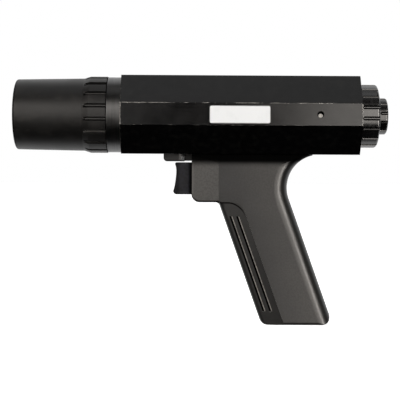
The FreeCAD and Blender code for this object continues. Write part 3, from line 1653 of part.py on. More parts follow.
save_on_axis("housing", make_housing())
save_on_axis("focus_sleeve", make_focus_sleeve())
save_on_axis("front_collar", make_front_collar())
save_on_axis("collar_screws", make_collar_screws())
save_on_axis("sleeve_circlip", make_circlip())
save_on_axis("lens_cell", make_lens_cell())
save_on_axis("cam_pins", make_cam_pins())
save_on_axis("lens", make_lens())
save_on_axis("lens_gasket", make_lens_gasket())
save_on_axis("lens_ring", make_lens_ring())
save_on_axis("reflector", make_reflector())
save_on_axis("flash_tube", make_flash_tube())
save_on_axis("tube_electrodes", make_electrodes())
save_on_axis("trigger_electrode", make_trigger_electrode())
save_on_axis("tube_holder", make_tube_holder())
save_on_axis("holder_screws", make_holder_screws())
save_on_axis("circuit_board", make_circuit_board())
save_on_axis("storage_capacitor", make_storage_capacitor())
save_on_axis("transformer_core", make_transformer_core())
save_on_axis("transformer_winding", make_transformer_winding())
save_on_axis("trigger_coil", make_trigger_coil())
save_on_axis("heat_sink", make_heat_sink())
save_on_axis("power_transistor", make_power_transistor())
save_on_axis("timing_chip", make_timing_chip())
save_on_axis("resistors", make_resistors())
save_on_axis("film_capacitors", make_film_capacitors())
save_on_axis("terminal_block", make_terminal_block())
save_on_axis("rear_chassis", make_rear_chassis())
save_on_axis("side_screws", make_side_screws())
save_on_axis("double_potentiometer", make_potentiometer())
save_on_axis("pot_washer", make_pot_washer())
save_on_axis("pot_nut", make_pot_nut())
save_on_axis("outer_shaft", make_outer_shaft())
save_on_axis("inner_shaft", make_inner_shaft())
save_on_axis("dial_knob", make_dial_knob())
save_on_axis("dial_set_screw", set_screw(x_dial_screw, outer_shaft_radius))
save_on_axis("centre_knob", make_centre_knob())
save_on_axis("centre_set_screw", set_screw(x_knob_screw, inner_shaft_radius))
save_on_axis("label_plate", make_label_plate())
save("grip_left", make_grip_half(-1))
save("grip_right", make_grip_half(1))
save("grip_screws", make_grip_screws())
save("grip_saddle", make_grip_saddle())
save("saddle_screws", make_saddle_screws())
save("saddle_nuts", make_saddle_nuts())
save("trigger", make_trigger())
save("trigger_spring", make_trigger_spring())
save("trigger_switch", make_trigger_switch())
save("switch_plunger", make_switch_plunger())
save("socket_shell", make_socket_shell())
save("socket_insert", make_socket_insert())
save("socket_contacts", make_socket_contacts())
save("socket_nut", make_socket_nut())
save("wire_loom", make_wire_loom())
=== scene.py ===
# %% [markdown]
# # A pistol-shaped xenon stroboscope
# The lamp is in the round barrel at the left, the circuit is in the eight-sided housing, two
# concentric knobs sit at the rear, and a moulded grip with a trigger hangs below.
# The packed CAD model already has every form at its true size, so this lesson is mostly about
# finishes: how paint, anodising, moulded plastic, glass and bare metal are told apart by their
# roughness, relief and wear. Everything is in metres, with the barrel along X and Z up.

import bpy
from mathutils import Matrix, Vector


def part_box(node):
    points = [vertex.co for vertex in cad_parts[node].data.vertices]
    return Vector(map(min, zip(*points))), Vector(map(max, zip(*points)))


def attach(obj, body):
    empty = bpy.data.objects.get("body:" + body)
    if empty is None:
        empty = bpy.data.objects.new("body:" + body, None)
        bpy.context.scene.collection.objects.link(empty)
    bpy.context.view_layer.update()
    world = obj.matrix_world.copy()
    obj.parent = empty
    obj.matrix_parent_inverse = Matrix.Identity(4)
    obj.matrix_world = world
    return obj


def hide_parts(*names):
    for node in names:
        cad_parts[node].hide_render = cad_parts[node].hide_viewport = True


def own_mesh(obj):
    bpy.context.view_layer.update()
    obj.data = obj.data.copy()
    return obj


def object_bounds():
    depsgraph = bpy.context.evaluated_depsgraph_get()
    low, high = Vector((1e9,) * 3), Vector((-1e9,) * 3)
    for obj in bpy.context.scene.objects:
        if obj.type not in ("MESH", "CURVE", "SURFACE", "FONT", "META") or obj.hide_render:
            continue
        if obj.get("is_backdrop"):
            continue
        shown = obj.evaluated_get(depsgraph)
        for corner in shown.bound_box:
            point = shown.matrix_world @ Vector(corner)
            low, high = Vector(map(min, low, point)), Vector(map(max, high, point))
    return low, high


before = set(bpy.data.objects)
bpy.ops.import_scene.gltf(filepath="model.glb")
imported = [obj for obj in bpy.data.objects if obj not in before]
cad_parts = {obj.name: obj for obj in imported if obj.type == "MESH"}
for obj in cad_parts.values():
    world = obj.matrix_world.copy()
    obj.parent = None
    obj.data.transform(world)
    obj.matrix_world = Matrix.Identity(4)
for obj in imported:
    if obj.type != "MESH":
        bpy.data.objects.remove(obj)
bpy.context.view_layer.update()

# %% [markdown]
# ## The camera
# The instrument is seen square from its left side through a long lens, so that its long edges
# stay nearly parallel. A wide lens from close by would make the near knobs and the near edge of
# the grip swell. The camera stands level, a little above the trigger. A small shift brings the
# whole grip into the frame. Tilting the camera would do that too, but upright edges would lean.

# %% Camera
import bpy
from math import radians
from mathutils import Matrix, Vector

long_lens = bpy.data.cameras.new("camera")
long_lens.lens = 99.4
long_lens.sensor_width = 36
long_lens.shift_y = -0.1044
stand = Matrix.Translation((-0.00095, -0.770, 0.1134))
level = Matrix.Rotation(radians(90), 4, "X")
slight_roll = Matrix.Rotation(radians(0.32), 4, "Z")
camera = bpy.data.objects.new("camera", long_lens)
camera.matrix_world = stand @ level @ slight_roll
bpy.context.scene.collection.objects.link(camera)
bpy.context.scene.camera = camera
print("camera stands", round(-camera.matrix_world.translation.y, 3), "m from the barrel's axis")

# %% [markdown]
# ## Soft boxes
# Dark satin pieces show hardly any colour of their own: nearly all that is seen on them is the
# reflection of the lights. So each light is placed by what a face mirrors. A wide box to the
# right brightens the rear half of the flat side, boxes high on the left draw the long streak
# along the barrel, and a narrow strip far right draws the line on the grip's rounded rear edge.
# Area lights are chosen over bare lamps because a reflection needs a size.
# What is mirrored and what only brightens the colour are kept apart: boxes and strips are seen
# in the gloss alone, and two fill lights act on the colour alone, as polarised lamps would.
# With both jobs in one lamp, brightening the grip would also wash out the black paint.

# %% Lights
from math import cos, pi, sin

warm, neutral = (1.0, 0.945, 0.885), (1, 1, 1)
aim = Vector((0.0, 0.0, 0.1133))                  # the middle of the barrel and the trigger


def soft_box(name, azimuth, elevation, width, height, brightness, colour,
             mirrored=True, distance=1.5):
    """A rectangle of light that faces the barrel; azimuth is to the right of the camera."""
    lamp = bpy.data.lights.new(name, "AREA")
    lamp.shape = "RECTANGLE"
    lamp.size, lamp.size_y = width, height
    lamp.energy = brightness * width * height * pi
    lamp.color = colour
    box = bpy.data.objects.new(name, lamp)
    a, e = radians(azimuth), radians(elevation)
    towards = Vector((sin(a) * cos(e), -cos(a) * cos(e), sin(e)))
    box.location = aim + towards * distance
    box.rotation_euler = towards.to_track_quat("Z", "Y").to_euler()
    box.visible_camera = False
    box.visible_glossy = mirrored
    box.visible_diffuse = not mirrored
    bpy.context.scene.collection.objects.link(box)


soft_box("box_right", 25, 3, 0.95, 1.70, 3.1, warm)
soft_box("strip_right", 46, 0, 0.28, 1.60, 14.0, warm, distance=1.4)
soft_box("box_left", -27, 14, 0.94, 1.28, 1.9, warm)
soft_box("strip_left", -27, 21, 0.85, 0.38, 1.0, warm, distance=1.35)
soft_box("edge_left", -9, 12, 0.22, 1.00, 0.42, neutral)
soft_box("box_above", 0, 80, 1.2, 0.8, 0.6, neutral)
soft_box("fill_left", -48, 14, 1.30, 1.30, 5.6, warm, mirrored=False)
soft_box("fill_front", 0, 20, 0.8, 0.8, 4.6, neutral, mirrored=False)

# %% [markdown]
# ## A white room
# The room is drawn in the world shader. What the camera sees directly is plain white. What the
# pieces mirror is white only behind the object and dark elsewhere, as if black cards stood in
# front of it, because a black object in an all-white room looks grey. The white behind gives
# the bright rims along the top and the bottom of every round piece.

# %% White room
room = bpy.data.worlds.new("room")
bpy.context.scene.world = room
room.use_nodes = True
wires = room.node_tree
backdrop = wires.nodes["Background"]
backdrop.inputs["Color"].default_value = (1, 1, 1, 1)
direction = wires.nodes.new("ShaderNodeTexCoord")
split = wires.nodes.new("ShaderNodeSeparateXYZ")
wires.links.new(direction.outputs["Generated"], split.inputs[0])
behind = wires.nodes.new("ShaderNodeMapRange")
behind.interpolation_type = "SMOOTHSTEP"
for socket, number in (("From Min", 0.05), ("From Max", 0.45), ("To Min", 0.006), ("To Max", 0.95)):
    behind.inputs[socket].default_value = number
wires.links.new(split.outputs["Y"], behind.inputs["Value"])
ray = wires.nodes.new("ShaderNodeLightPath")
seen = wires.nodes.new("ShaderNodeMix")
wires.links.new(ray.outputs["Is Camera Ray"], seen.inputs[0])
wires.links.new(behind.outputs["Result"], seen.inputs[2])
seen.inputs[3].default_value = 1.0
wires.links.new(seen.outputs[0], backdrop.inputs["Strength"])
bpy.context.scene.view_settings.view_transform = "Standard"
print("room:", len(wires.nodes), "nodes")

# %% [markdown]
# ## The floor
# A pale sweep of paper under the object. It glows a little by itself so that it stays paper
# white, and takes the rest of its light from the lamps, so a faint shadow is left where the
# grip stands. It isn't mirrored, so that it doesn't light the undersides.

# %% Floor
import bmesh

floor_mesh = bpy.data.meshes.new("floor")
shape = bmesh.new()
just_below = Matrix.Translation((0, 0, -0.0002))
bmesh.ops.create_grid(shape, x_segments=8, y_segments=8, size=4.0, matrix=just_below)
shape.to_mesh(floor_mesh)
shape.free()
floor = bpy.data.objects.new("floor", floor_mesh)
bpy.context.scene.collection.objects.link(floor)
floor.visible_glossy = False
floor.visible_diffuse = False
floor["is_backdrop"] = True
paper = bpy.data.materials.new("paper")
paper.use_nodes = True
paper_shader = paper.node_tree.nodes["Principled BSDF"]
paper_shader.inputs["Base Color"].default_value = (0.9, 0.9, 0.9, 1)
paper_shader.inputs["Roughness"].default_value = 0.9
paper_shader.inputs["Emission Color"].default_value = (1, 1, 1, 1)
paper_shader.inputs["Emission Strength"].default_value = 0.85
floor_mesh.materials.append(paper)
print("floor:", len(floor_mesh.polygons), "faces")

# %% [markdown]
# ## A bench for measuring
# Every finish below is one principled shader with a few textures on it, and most of them ask
# where a point lies: how far from an edge, inside which slot, how high on the grip. This class
# holds the shader, gives the place on the piece in millimetres and does the arithmetic.
# Object coordinates are used because the pieces have no unwrapped maps, and because they stay
# with a piece when it turns or slides.

# %% Measuring bench
class Bench:
    """A shader with the place on the piece in millimetres, and arithmetic on it."""

    def __init__(self, name, colour, roughness, **fixed):
        self.material = bpy.data.materials.new(name)
        self.material.use_nodes = True
        self.tree = self.material.node_tree
        self.shader = self.tree.nodes["Principled BSDF"]
        self.colour = colour
        self.shader.inputs["Base Color"].default_value = (*colour, 1.0)
        self.shader.inputs["Roughness"].default_value = roughness
        for socket, value in fixed.items():
            self.shader.inputs[socket.replace("_", " ")].default_value = value
        place = self.add("ShaderNodeTexCoord")
        scale = self.add("ShaderNodeVectorMath", operation="SCALE")
        scale.inputs["Scale"].default_value = 1000.0
        self.join(place.outputs["Object"], scale.inputs[0])
        self.mm = scale.outputs["Vector"]
        split_mm = self.add("ShaderNodeSeparateXYZ")
        self.join(self.mm, split_mm.inputs[0])
        self.x, self.y, self.z = split_mm.outputs

    def add(self, kind, **settings):
        node = self.tree.nodes.new(kind)
        for setting, value in settings.items():
            setattr(node, setting, value)
        return node

    def join(self, output, socket):
        self.tree.links.new(output, socket)
        return self

    def calc(self, operation, *values):
        """One step of arithmetic on numbers or on other nodes' outputs."""
        node = self.add("ShaderNodeMath", operation=operation)
        return self.fill(node, values).outputs[0]

    def fill(self, node, values):
        """Put numbers or other nodes' outputs into a node's sockets, in order."""
        for socket, value in zip(node.inputs, values):
            if isinstance(value, (int, float)):
                socket.default_value = value
            else:
                self.join(value, socket)
        return node

    def times(self, first, *others):
        for other in others:
            first = self.calc("MULTIPLY", first, other)
        return first

    def apart(self, first, second):
        """How far two values lie apart, without sign."""
        return self.calc("ABSOLUTE", self.calc("SUBTRACT", first, second))

    def distance(self, first, second):
        """The straight distance, from its two parts at right angles."""
        return self.calc("SQRT", self.calc("ADD", self.times(first, first),
                                           self.times(second, second)))

    def past(self, value, limit):
        """How far a value goes past a limit, and 0 short of it."""
        return self.calc("MAXIMUM", 0.0, self.calc("SUBTRACT", value, limit))

    def ease(self, value, low, high, to_low=0.0, to_high=1.0):
        """Smoothly from to_low at low to to_high at high."""
        node = self.add("ShaderNodeMapRange", interpolation_type="SMOOTHSTEP")
        return self.fill(node, (value, low, high, to_low, to_high)).outputs["Result"]

    def line(self, value, middle, core, reach, strength=1.0):
        """A soft line: full within core of the middle, gone beyond reach."""
        return self.ease(self.apart(value, middle), core, reach, strength, 0.0)

    def grain(self, size, detail=2.0, stretch=(1, 1, 1)):
        """Cloudy noise whose patches are about size millimetres across."""
        squeeze = self.add("ShaderNodeVectorMath", operation="MULTIPLY")
        squeeze.inputs[1].default_value = [1 / (size * s) for s in stretch]
        self.join(self.mm, squeeze.inputs[0])
        noise = self.add("ShaderNodeTexNoise")
        noise.inputs["Scale"].default_value = 1.0
        noise.inputs["Detail"].default_value = detail
        self.join(squeeze.outputs[0], noise.inputs["Vector"])
        return noise.outputs["Fac"]


print("measuring bench ready")

# %% [markdown]
# ## What a finisher does
# Four things are done to a surface, again and again: another colour is mixed in, the gloss is
# made uneven, shade is painted into a crevice or along an edge, and a grain is raised. Each is a
# method that can be called as often as needed, because it takes what is already on the shader
# and adds to it.
# Numbers that are the same all over are written on the shader's own sockets.
# Painted shade needs a method of its own: black colour alone would still shine, so it also takes
# the shine away.

# %% Finishing methods
class Finish(Bench):
    """One procedural finish for a piece of the instrument."""

    def tint(self, share, colour):
        """Mix another colour in where share is high."""
        mix = self.add("ShaderNodeMix", data_type="RGBA")
        base = self.shader.inputs["Base Color"]
        if base.links:
            self.join(base.links[0].from_socket, mix.inputs[6])
        else:
            mix.inputs[6].default_value = (*self.colour, 1.0)
        mix.inputs[7].default_value = (*colour, 1.0)
        self.join(share, mix.inputs[0])
        return self.join(mix.outputs[2], base)

    def dull(self, value):
        return self.join(value, self.shader.inputs["Roughness"])

    def paint_shade(self, share):
        """Paint shade where share is high: black colour with no shine."""
        self.tint(share, (0.001, 0.001, 0.001))
        level = self.shader.inputs["Specular IOR Level"]
        before = level.links[0].from_socket if level.links else level.default_value
        return self.join(self.times(before, self.calc("SUBTRACT", 1.0, share)), level)

    def relief(self, height, depth):
        """Raise the surface by depth millimetres where height is 1."""
        bump = self.add("ShaderNodeBump")
        bump.inputs["Strength"].default_value = 1.0
        bump.inputs["Distance"].default_value = depth / 1000
        self.join(height, bump.inputs["Height"])
        normal = self.shader.inputs["Normal"]
        if normal.links:
            self.join(normal.links[0].from_socket, bump.inputs["Normal"])
        return self.join(bump.outputs[0], normal)


print("finishing methods:", [name for name in vars(Finish) if not name.startswith("_")])

# %% [markdown]
# ## Where the paint wears
# The housing is an eight-sided aluminium extrusion, sprayed satin black. Paint is thinnest on
# the sharp edges and gets knocked there, so bare metal shows as a thin broken line.
# The wear could be painted by hand, but the distance to the eight long edges is easy to work
# out, so the shader measures it. The section is the same on all sides, so the distance from
# the axis without its sign covers eight edges with two. The cut ends are measured along X.

# %% Distance to the housing's edges
barrel_axis = 143.3                               # height of the barrel's axis, in mm
side_edge, crown_edge = (27.0, 7.5), (14.0, 27.0)    # half width and half height of the edges
housing_front, housing_rear = -55.15, 108.55

paint = Finish("worn_black_paint", (0.0008, 0.0008, 0.0009), 0.18)
sideways = paint.calc("ABSOLUTE", paint.y)
up = paint.calc("SUBTRACT", paint.z, barrel_axis)
high = paint.calc("ABSOLUTE", up)
to_side_edge, to_crown_edge = (
    paint.distance(paint.calc("SUBTRACT", sideways, edge[0]), paint.calc("SUBTRACT", high, edge[1]))
    for edge in (side_edge, crown_edge))
to_end = paint.calc("MINIMUM", paint.calc("SUBTRACT", paint.x, housing_front),
                    paint.calc("SUBTRACT", housing_rear, paint.x))
print("edges at", side_edge, "and", crown_edge, "mm from the axis")

# %% [markdown]
# How far the wear reaches in from an edge is drawn from noise, so that it comes and goes: a
# slow one for where the housing rubs and a fast one for chips. The side edges above the middle
# are worn most. Along the edges of both ends, beside the side flat and most at the front, the
# bare metal is a painted highlight: the thin line of light that a rounded end edge catches.

# %% Worn edges and painted end highlights
rub = paint.grain(9.0, 3.0)
chip = paint.grain(1.1, 2.0)
wear_and_highlight = paint.calc("ADD", paint.ease(rub, 0.44, 0.62, 0.02, 0.15),
                    paint.ease(chip, 0.60, 0.74, 0.0, 0.26))
side_reach = paint.times(paint.ease(up, -1.0, 1.0, 0.5, 1.0), wear_and_highlight)
crown_reach = paint.ease(chip, 0.64, 0.76, 0.0, 0.20)
on_flat = paint.ease(high, 7.0, 8.5, 1.0, 0.18)
towards_corner = paint.ease(high, 2.0, 7.0, 0.7, 1.15)
at_front = paint.ease(paint.x, 0.0, 1.0, 1.0, 0.30)
# Painted highlight: how far the bright line reaches in along the end edges.
end_highlight_reach = paint.times(on_flat, towards_corner, at_front, paint.ease(chip, 0.40, 0.62, 0.34, 0.50))

wear_and_end_highlight = 0.0
for reach, away, fade in ((side_reach, to_side_edge, 0.08), (crown_reach, to_crown_edge, 0.10),
                          (end_highlight_reach, to_end, 0.12)):
    bare_or_highlight = paint.ease(paint.calc("SUBTRACT", reach, away), 0.0, fade)
    wear_and_end_highlight = paint.calc("MAXIMUM", wear_and_end_highlight, bare_or_highlight)
print("edges worn, nodes so far:", len(paint.tree.nodes))

# %% [markdown]
# The black itself is nearly without colour, with a thin haze of dust. The gloss changes slowly
# along the housing and has faint streaks along X, as an extruded surface keeps its die lines
# under the paint. An image could hold them. A noise stretched along X has no seams at the
# corners. The paint has a light orange peel, and is missing where it is worn; along the end
# edges the bare metal is a painted highlight.

# %% Black paint
bare_metal_and_highlight, dust = (0.46, 0.45, 0.43), (0.0045, 0.0044, 0.0041)
paint.tint(paint.ease(paint.grain(4.0, 5.0), 0.45, 0.75, 0.0, 0.7), dust)
# Bare metal where the paint is worn, and a painted highlight along the end edges.
paint.tint(wear_and_end_highlight, bare_metal_and_highlight).join(wear_and_end_highlight, paint.shader.inputs["Metallic"])
die_lines = paint.grain(0.5, 3.0, stretch=(60, 1, 1))
paint.dull(paint.calc("ADD", paint.ease(paint.grain(12.0, 4.0), 0.3, 0.7, 0.155, 0.205),
                      paint.ease(die_lines, 0.3, 0.7, -0.01, 0.02)))
paint.relief(paint.grain(0.9, 1.0), 0.004).relief(wear_and_end_highlight, -0.03)
print(paint.material.name, len(paint.tree.nodes), "nodes")

# %% [markdown]
# ## Turned metal and round slots
# The barrel's grip ring and both knobs have slots around them, and the shader has to know where
# they are, to paint shade and light in them. A slot is found from the angle around the barrel:
# wrapped into one pitch, it says how far the nearest slot's middle line is. Past the slot's round
# head the distance is taken from the head's middle, so one number follows the slot's whole outline.
# Ambient occlusion would find the slots as well, but it costs rays and misses shallow ones.
# Lathe rings are a noise that is stretched around the axis, so that it changes along X only.

# %% Rings and slots
def turned_rings(finish, pitch, depth):
    """Fine lathe rings around the barrel."""
    finish.relief(finish.grain(pitch, 1.0, stretch=(1, 400, 400)), depth)


def in_slots(finish, radius, count, phase, head, half_width):
    """The angle above the left side, and in mm how far across the nearest slot the point
    lies and how far away from the slot's middle line."""
    to_left = finish.times(finish.y, -1.0)
    angle = finish.times(180 / pi, finish.calc(
        "ARCTAN2", finish.calc("SUBTRACT", finish.z, barrel_axis), to_left))
    turn = finish.calc("WRAP", finish.calc("SUBTRACT", angle, phase), 180 / count, -180 / count)
    across = finish.times(turn, radius * pi / 180)
    short_of_head = finish.past(head + half_width, finish.x)
    return angle, across, finish.distance(across, short_of_head)


print("slots are found by angle")

# %% [markdown]
# ## Black barrel
# The focus sleeve is a turned tube in hard black anodising, duller than the paint. Its front
# rim is darkest, because little light comes from the front. An even dark grey would pass for
# plastic: the rings, a fine tooth and a drifting gloss are what make it metal.

# %% Barrel anodising
ring_low, ring_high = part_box("focus_sleeve")
barrel = Finish("barrel_anodising", (0.0045, 0.0043, 0.0042), 0.42, Specular_IOR_Level=0.44)
turned_rings(barrel, 0.35, 0.0012)
barrel.relief(barrel.grain(0.6, 2.0), 0.004)
barrel.dull(barrel.ease(barrel.grain(14.0, 3.0), 0.3, 0.7, 0.39, 0.45))
barrel.tint(barrel.ease(barrel.grain(7.0, 4.0), 0.45, 0.75, 0.0, 0.6), (0.012, 0.0112, 0.0105))
muzzle = ring_low.x * 1000
# Painted shade: the front rim darkened, as little light comes from the front.
barrel.paint_shade(barrel.ease(barrel.x, muzzle + 0.8, muzzle + 1.7, 0.85, 0.0))
print(barrel.material.name, "from", round(muzzle, 2), "mm")

# %% [markdown]
# The eighteen slots of the grip ring were cut with a round cutter, so their floors are dished: a
# relief that rises towards both walls does that without another cut in the mesh. The middle of
# each floor is painted lighter, as painted light. Above the middle of the barrel painted shade
# lies on the lower wall and around the head. In the slots below, the floor gets a painted
# highlight and the painted shade is on the upper wall.

# %% Slots of the grip ring
ring_length, ring_radius, ring_slots, ring_phase = 14.9, 25.7, 18, -7.8
slot_half, dish_half = 1.2, 1.3                   # half widths in mm, of the slot and its dish
turns_under = (-24.0, -14.0)                      # degrees, where the ring starts to face down
floor_light, floor_highlight = (0.020, 0.019, 0.018), (0.055, 0.053, 0.050)

ring_start = ring_high.x * 1000 - ring_length
angle, across, away = in_slots(barrel, ring_radius, ring_slots, ring_phase,
                               ring_start, slot_half)
on_ring = barrel.ease(barrel.x, ring_start - 0.3, ring_start)
below = barrel.ease(angle, *turns_under, 1.0, 0.0)
dished = barrel.calc("MINIMUM", 1.0, barrel.times(away, away, 1 / dish_half ** 2))
barrel.relief(dished, 0.7)
# Painted light: the middle of each slot's floor is lighter.
barrel.tint(barrel.times(on_ring, barrel.ease(away, 0.5, 0.8, 0.8, 0.0)), floor_light)

# Painted shade around each slot's outline and along its lower wall, strongest above the middle.
outline = barrel.times(barrel.line(away, 1.05, 0.16, 0.42),
                       barrel.ease(across, 0.0, 0.6, 0.8, 0.15))
lower_wall_shade = barrel.line(across, -1.0, 0.25, barrel.ease(angle, 3.0, 9.0, 0.55, 1.05))
ring_shade = barrel.times(on_ring, barrel.ease(angle, *turns_under, 0.15, 1.0))
barrel.paint_shade(barrel.times(ring_shade, barrel.calc("MAXIMUM", outline, lower_wall_shade)))
# Painted shade on the upper wall of the slots well below the middle.
upper_wall_shade = barrel.line(across, 0.9, 0.35, 0.70, 0.95)
barrel.paint_shade(barrel.times(on_ring, upper_wall_shade, barrel.ease(angle, -42.0, -36.0, 1.0, 0.0)))
# Painted highlight on the floors of the slots below the middle.
barrel.tint(barrel.times(on_ring, barrel.ease(away, 0.6, 1.0, 0.9, 0.0), below), floor_highlight)
print("ring starts at", round(ring_start, 2), "mm")

# %% [markdown]
# ## Grey collar
# The collar behind the barrel is the same metal with a thinner, greyer coat. A plain grey would
# look painted, so it is a metallic shader with a dark colour, which mirrors its surroundings
# grey. The lathe rings are clearer on it, and a band along its upper side is darkened as painted
# shade.

# %% Collar anodising
collar = Finish("grey_collar_anodising", (0.096, 0.096, 0.097), 0.28, Metallic=1.0)
turned_rings(collar, 0.30, 0.0030)
collar.dull(collar.ease(collar.grain(5.0, 3.0), 0.3, 0.7, 0.28, 0.34))
ring_marks = collar.grain(0.5, 2.0, stretch=(1, 40, 40))
collar.tint(collar.ease(ring_marks, 0.35, 0.65, 0.0, 0.6), (0.132, 0.131, 0.131))
# Painted shade: a darker band along the collar's upper side.
shaded_top = collar.calc("MINIMUM",
                        collar.ease(collar.z, barrel_axis + 7, barrel_axis + 14, 0.0, 0.75),
                        collar.ease(collar.z, barrel_axis + 18, barrel_axis + 23, 0.75, 0.0))
collar.tint(shaded_top, (0.040, 0.039, 0.038))
print(collar.material.name)

# %% [markdown]
# ## Lens cell
# The lens cell and its ring are anodised matte black, so that they don't throw light back into
# the lens. The barrel's finish would serve, but beside glass its sheen is too bright. So they
# take the same rings on a duller ground.

# %% Lens cell
cell = Finish("lens_cell_black", (0.008, 0.008, 0.0085), 0.55)
turned_rings(cell, 0.4, 0.004)
cell.dull(cell.ease(cell.grain(3.0, 3.0), 0.3, 0.7, 0.50, 0.62))
print(cell.material.name)

# %% [markdown]
# ## Knobs
# The two knobs are moulded in glossy black plastic. Gloss comes from a low roughness; what keeps
# it from looking like glass is a slow waviness from the mould and dust-fine scratches that only
# change the roughness. Both knobs share the finish, and one loop paints shade along the outline of
# the slots for each of them, only between that knob's own two faces. The painted shade fades
# towards the top and the bottom of each knob.

# %% Glossy knobs
knob = Finish("glossy_knob_plastic", (0.005, 0.005, 0.0052), 0.24, Specular_IOR_Level=0.95)
knob.relief(knob.grain(6.0, 1.0), 0.01)
knob.dull(knob.ease(knob.grain(2.2, 4.0, stretch=(1, 3, 3)), 0.35, 0.75, 0.21, 0.268))
knob.tint(knob.ease(knob.grain(1.0, 2.0), 0.6, 0.85, 0.0, 0.5), (0.02, 0.019, 0.018))
for name, radius, count, phase, start, half_width in (("dial_knob", 21.9, 18, -6.0, 1.7, 1.2),
                                                      ("centre_knob", 12.6, 12, 7.5, 1.9, 1.0)):
    low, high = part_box(name)
    head = low.x * 1000 + start - half_width
    angle, _, away = in_slots(knob, radius, count, phase, head, half_width)
    this_knob = knob.times(knob.calc("GREATER_THAN", knob.x, low.x * 1000),
                           knob.calc("LESS_THAN", knob.x, high.x * 1000))
    side_fade = knob.ease(knob.calc("ABSOLUTE", angle), 22.0, 45.0, 1.0, 0.12)
    # Painted shade along each slot's outline.
    knob.paint_shade(knob.times(this_knob, side_fade, knob.line(away, half_width - 0.3, 0.35, 0.65)))
print(knob.material.name, len(knob.tree.nodes), "nodes")

# %% [markdown]
# ## Grip
# The grip halves are moulded in dark warm-grey plastic from a spark-eroded mould, which leaves a
# fine even grain. Modelled grain would need millions of faces, so it is drawn, and drawn twice:
# as relief, and as light specks, because its tips scatter more light than its pits. The gloss
# drifts in large soft patches.

# %% Grip moulding
grip = Finish("grip_moulding", (0.0225, 0.0215, 0.0203), 0.30)
grip.relief(grip.grain(0.30, 1.0), 0.012).relief(grip.grain(2.6, 2.0), 0.012)
grip.dull(grip.ease(grip.grain(18.0, 3.0), 0.3, 0.7, 0.285, 0.335))
grip.tint(grip.ease(grip.grain(11.0, 3.0), 0.25, 0.75, 0.0, 0.6), (0.030, 0.0282, 0.0262))
grip.tint(grip.ease(grip.grain(0.45, 2.0), 0.52, 0.72, 0.0, 0.55), (0.046, 0.043, 0.0395))
print(grip.material.name, len(grip.tree.nodes), "nodes")

# %% [markdown]
# The handle leans back, so its places are measured from its leaning front edge and not along X.
# The block ahead of it, which houses the trigger, is painted a little lighter, as a painted
# reflection of the lights on its face turned towards them. The handle is painted darkest at its
# front and lighter towards its back, as painted shade and sheen. The strap along its front is
# recessed and painted darker, as painted shade, and where the palm lies the plastic has been
# darkened by handling, in fine blotches.
# The zones could be painted on an image, but the grip has no unwrapped map to carry one, so
# they are soft steps in its height and depth. Later zones lie on top of earlier ones.

# %% Block, handle and strap
from math import tan

grip_low, grip_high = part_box("grip_left")
grip_front, grip_top = grip_low.x * 1000, grip_high.z * 1000
block_under = grip_top - 32.9                     # underside of the block around the trigger
strap_front = grip_front + 18.6                   # front edge of the handle at that height
strap_width, lean = 15.3, tan(radians(19.6))
palm_starts, palm_ends = (30.0, 55.0), (64.0, 86.0)      # heights above the floor, in mm

below_block = grip.calc("SUBTRACT", block_under, grip.z)
behind_edge = grip.calc("SUBTRACT", grip.calc("SUBTRACT", grip.x, strap_front),
                        grip.times(below_block, lean))
on_block = grip.ease(grip.x, strap_front - 0.5, strap_front + 0.1, 1.0, 0.0)
on_handle = grip.ease(grip.x, strap_front - 0.3, strap_front + 0.3)
on_strap = grip.times(grip.ease(grip.z, block_under - 0.6, block_under + 0.2, 1.0, 0.0),
                      grip.ease(behind_edge, strap_width - 0.3, strap_width + 0.3, 1.0, 0.0))
palm = grip.times(grip.ease(grip.z, *palm_starts, 0.0, 0.45),
                  grip.ease(grip.z, *palm_ends, 1.0, 0.1))
blotches = grip.ease(grip.grain(1.2, 3.0), 0.38, 0.64, 0.0, 0.45)

# Painted reflection: the block is lighter.
grip.tint(grip.times(on_block, 0.7), (0.0375, 0.0362, 0.0342))
# Painted shade and sheen: the handle darker at its front, lighter towards its back.
grip.tint(grip.times(grip.ease(behind_edge, 14.0, 38.0, 0.95, 0.0), on_handle),
          (0.016, 0.0158, 0.0160))
# Painted shade: the recessed strap is darker.
grip.tint(grip.times(on_strap, 0.5), (0.009, 0.0088, 0.0084))
grip.tint(palm, (0.0125, 0.0124, 0.0125)).tint(blotches, (0.008, 0.0078, 0.0075))
print("block ends", round(block_under, 1), "mm above the floor")

# %% [markdown]
# The strap's recess ends in a step with a round upper corner, and two long grooves run down the
# strap. The foot of the step and the grooves get painted shade, and the edge behind each groove
# gets a painted highlight in patches. All these lines are placed with the sizes of the cuts in
# the model, so they lie on them at any zoom, which a line drawn on an image wouldn't.

# %% Step and grooves
strap_corner = 9.0                                # radius of the step's upper corner
groove_lines, groove_high, groove_low = (4.6, 9.2), block_under - 9.8, 9.6
groove_highlight = (0.30, 0.285, 0.265)

past_corner = grip.past(behind_edge, strap_width - strap_corner)
short_of_corner = grip.past(strap_corner, below_block)
off_step = grip.calc("SUBTRACT", strap_corner, grip.distance(past_corner, short_of_corner))
step_line = grip.times(grip.line(off_step, 0.3, 0.25, 0.75),
                       grip.ease(below_block, 3.0, 11.0, 0.95, 0.0))
# Painted shadow at the foot of the step.
grip.paint_shade(grip.times(step_line, grip.ease(behind_edge, -3.0, -2.0)))
along = grip.times(grip.ease(grip.z, groove_low - 0.5, groove_low),
                   grip.ease(grip.z, groove_high, groove_high + 0.5, 1.0, 0.0))
for groove_line in groove_lines:
    off_line = grip.calc("SUBTRACT", behind_edge, groove_line)
    # Painted shade in each groove.
    grip.paint_shade(grip.times(along, grip.line(off_line, 0.0, 0.45, 0.85)))
    # Painted highlight in patches on the edge behind each groove.
    patches = grip.ease(grip.grain(1.3, 3.0), 0.30, 0.60, 0.35, 1.0)
    grip.tint(grip.times(along, grip.line(off_line, 1.1, 0.12, 0.34), patches), groove_highlight)
print(len(groove_lines), "grooves, each", round(groove_high - groove_low, 1), "mm high")
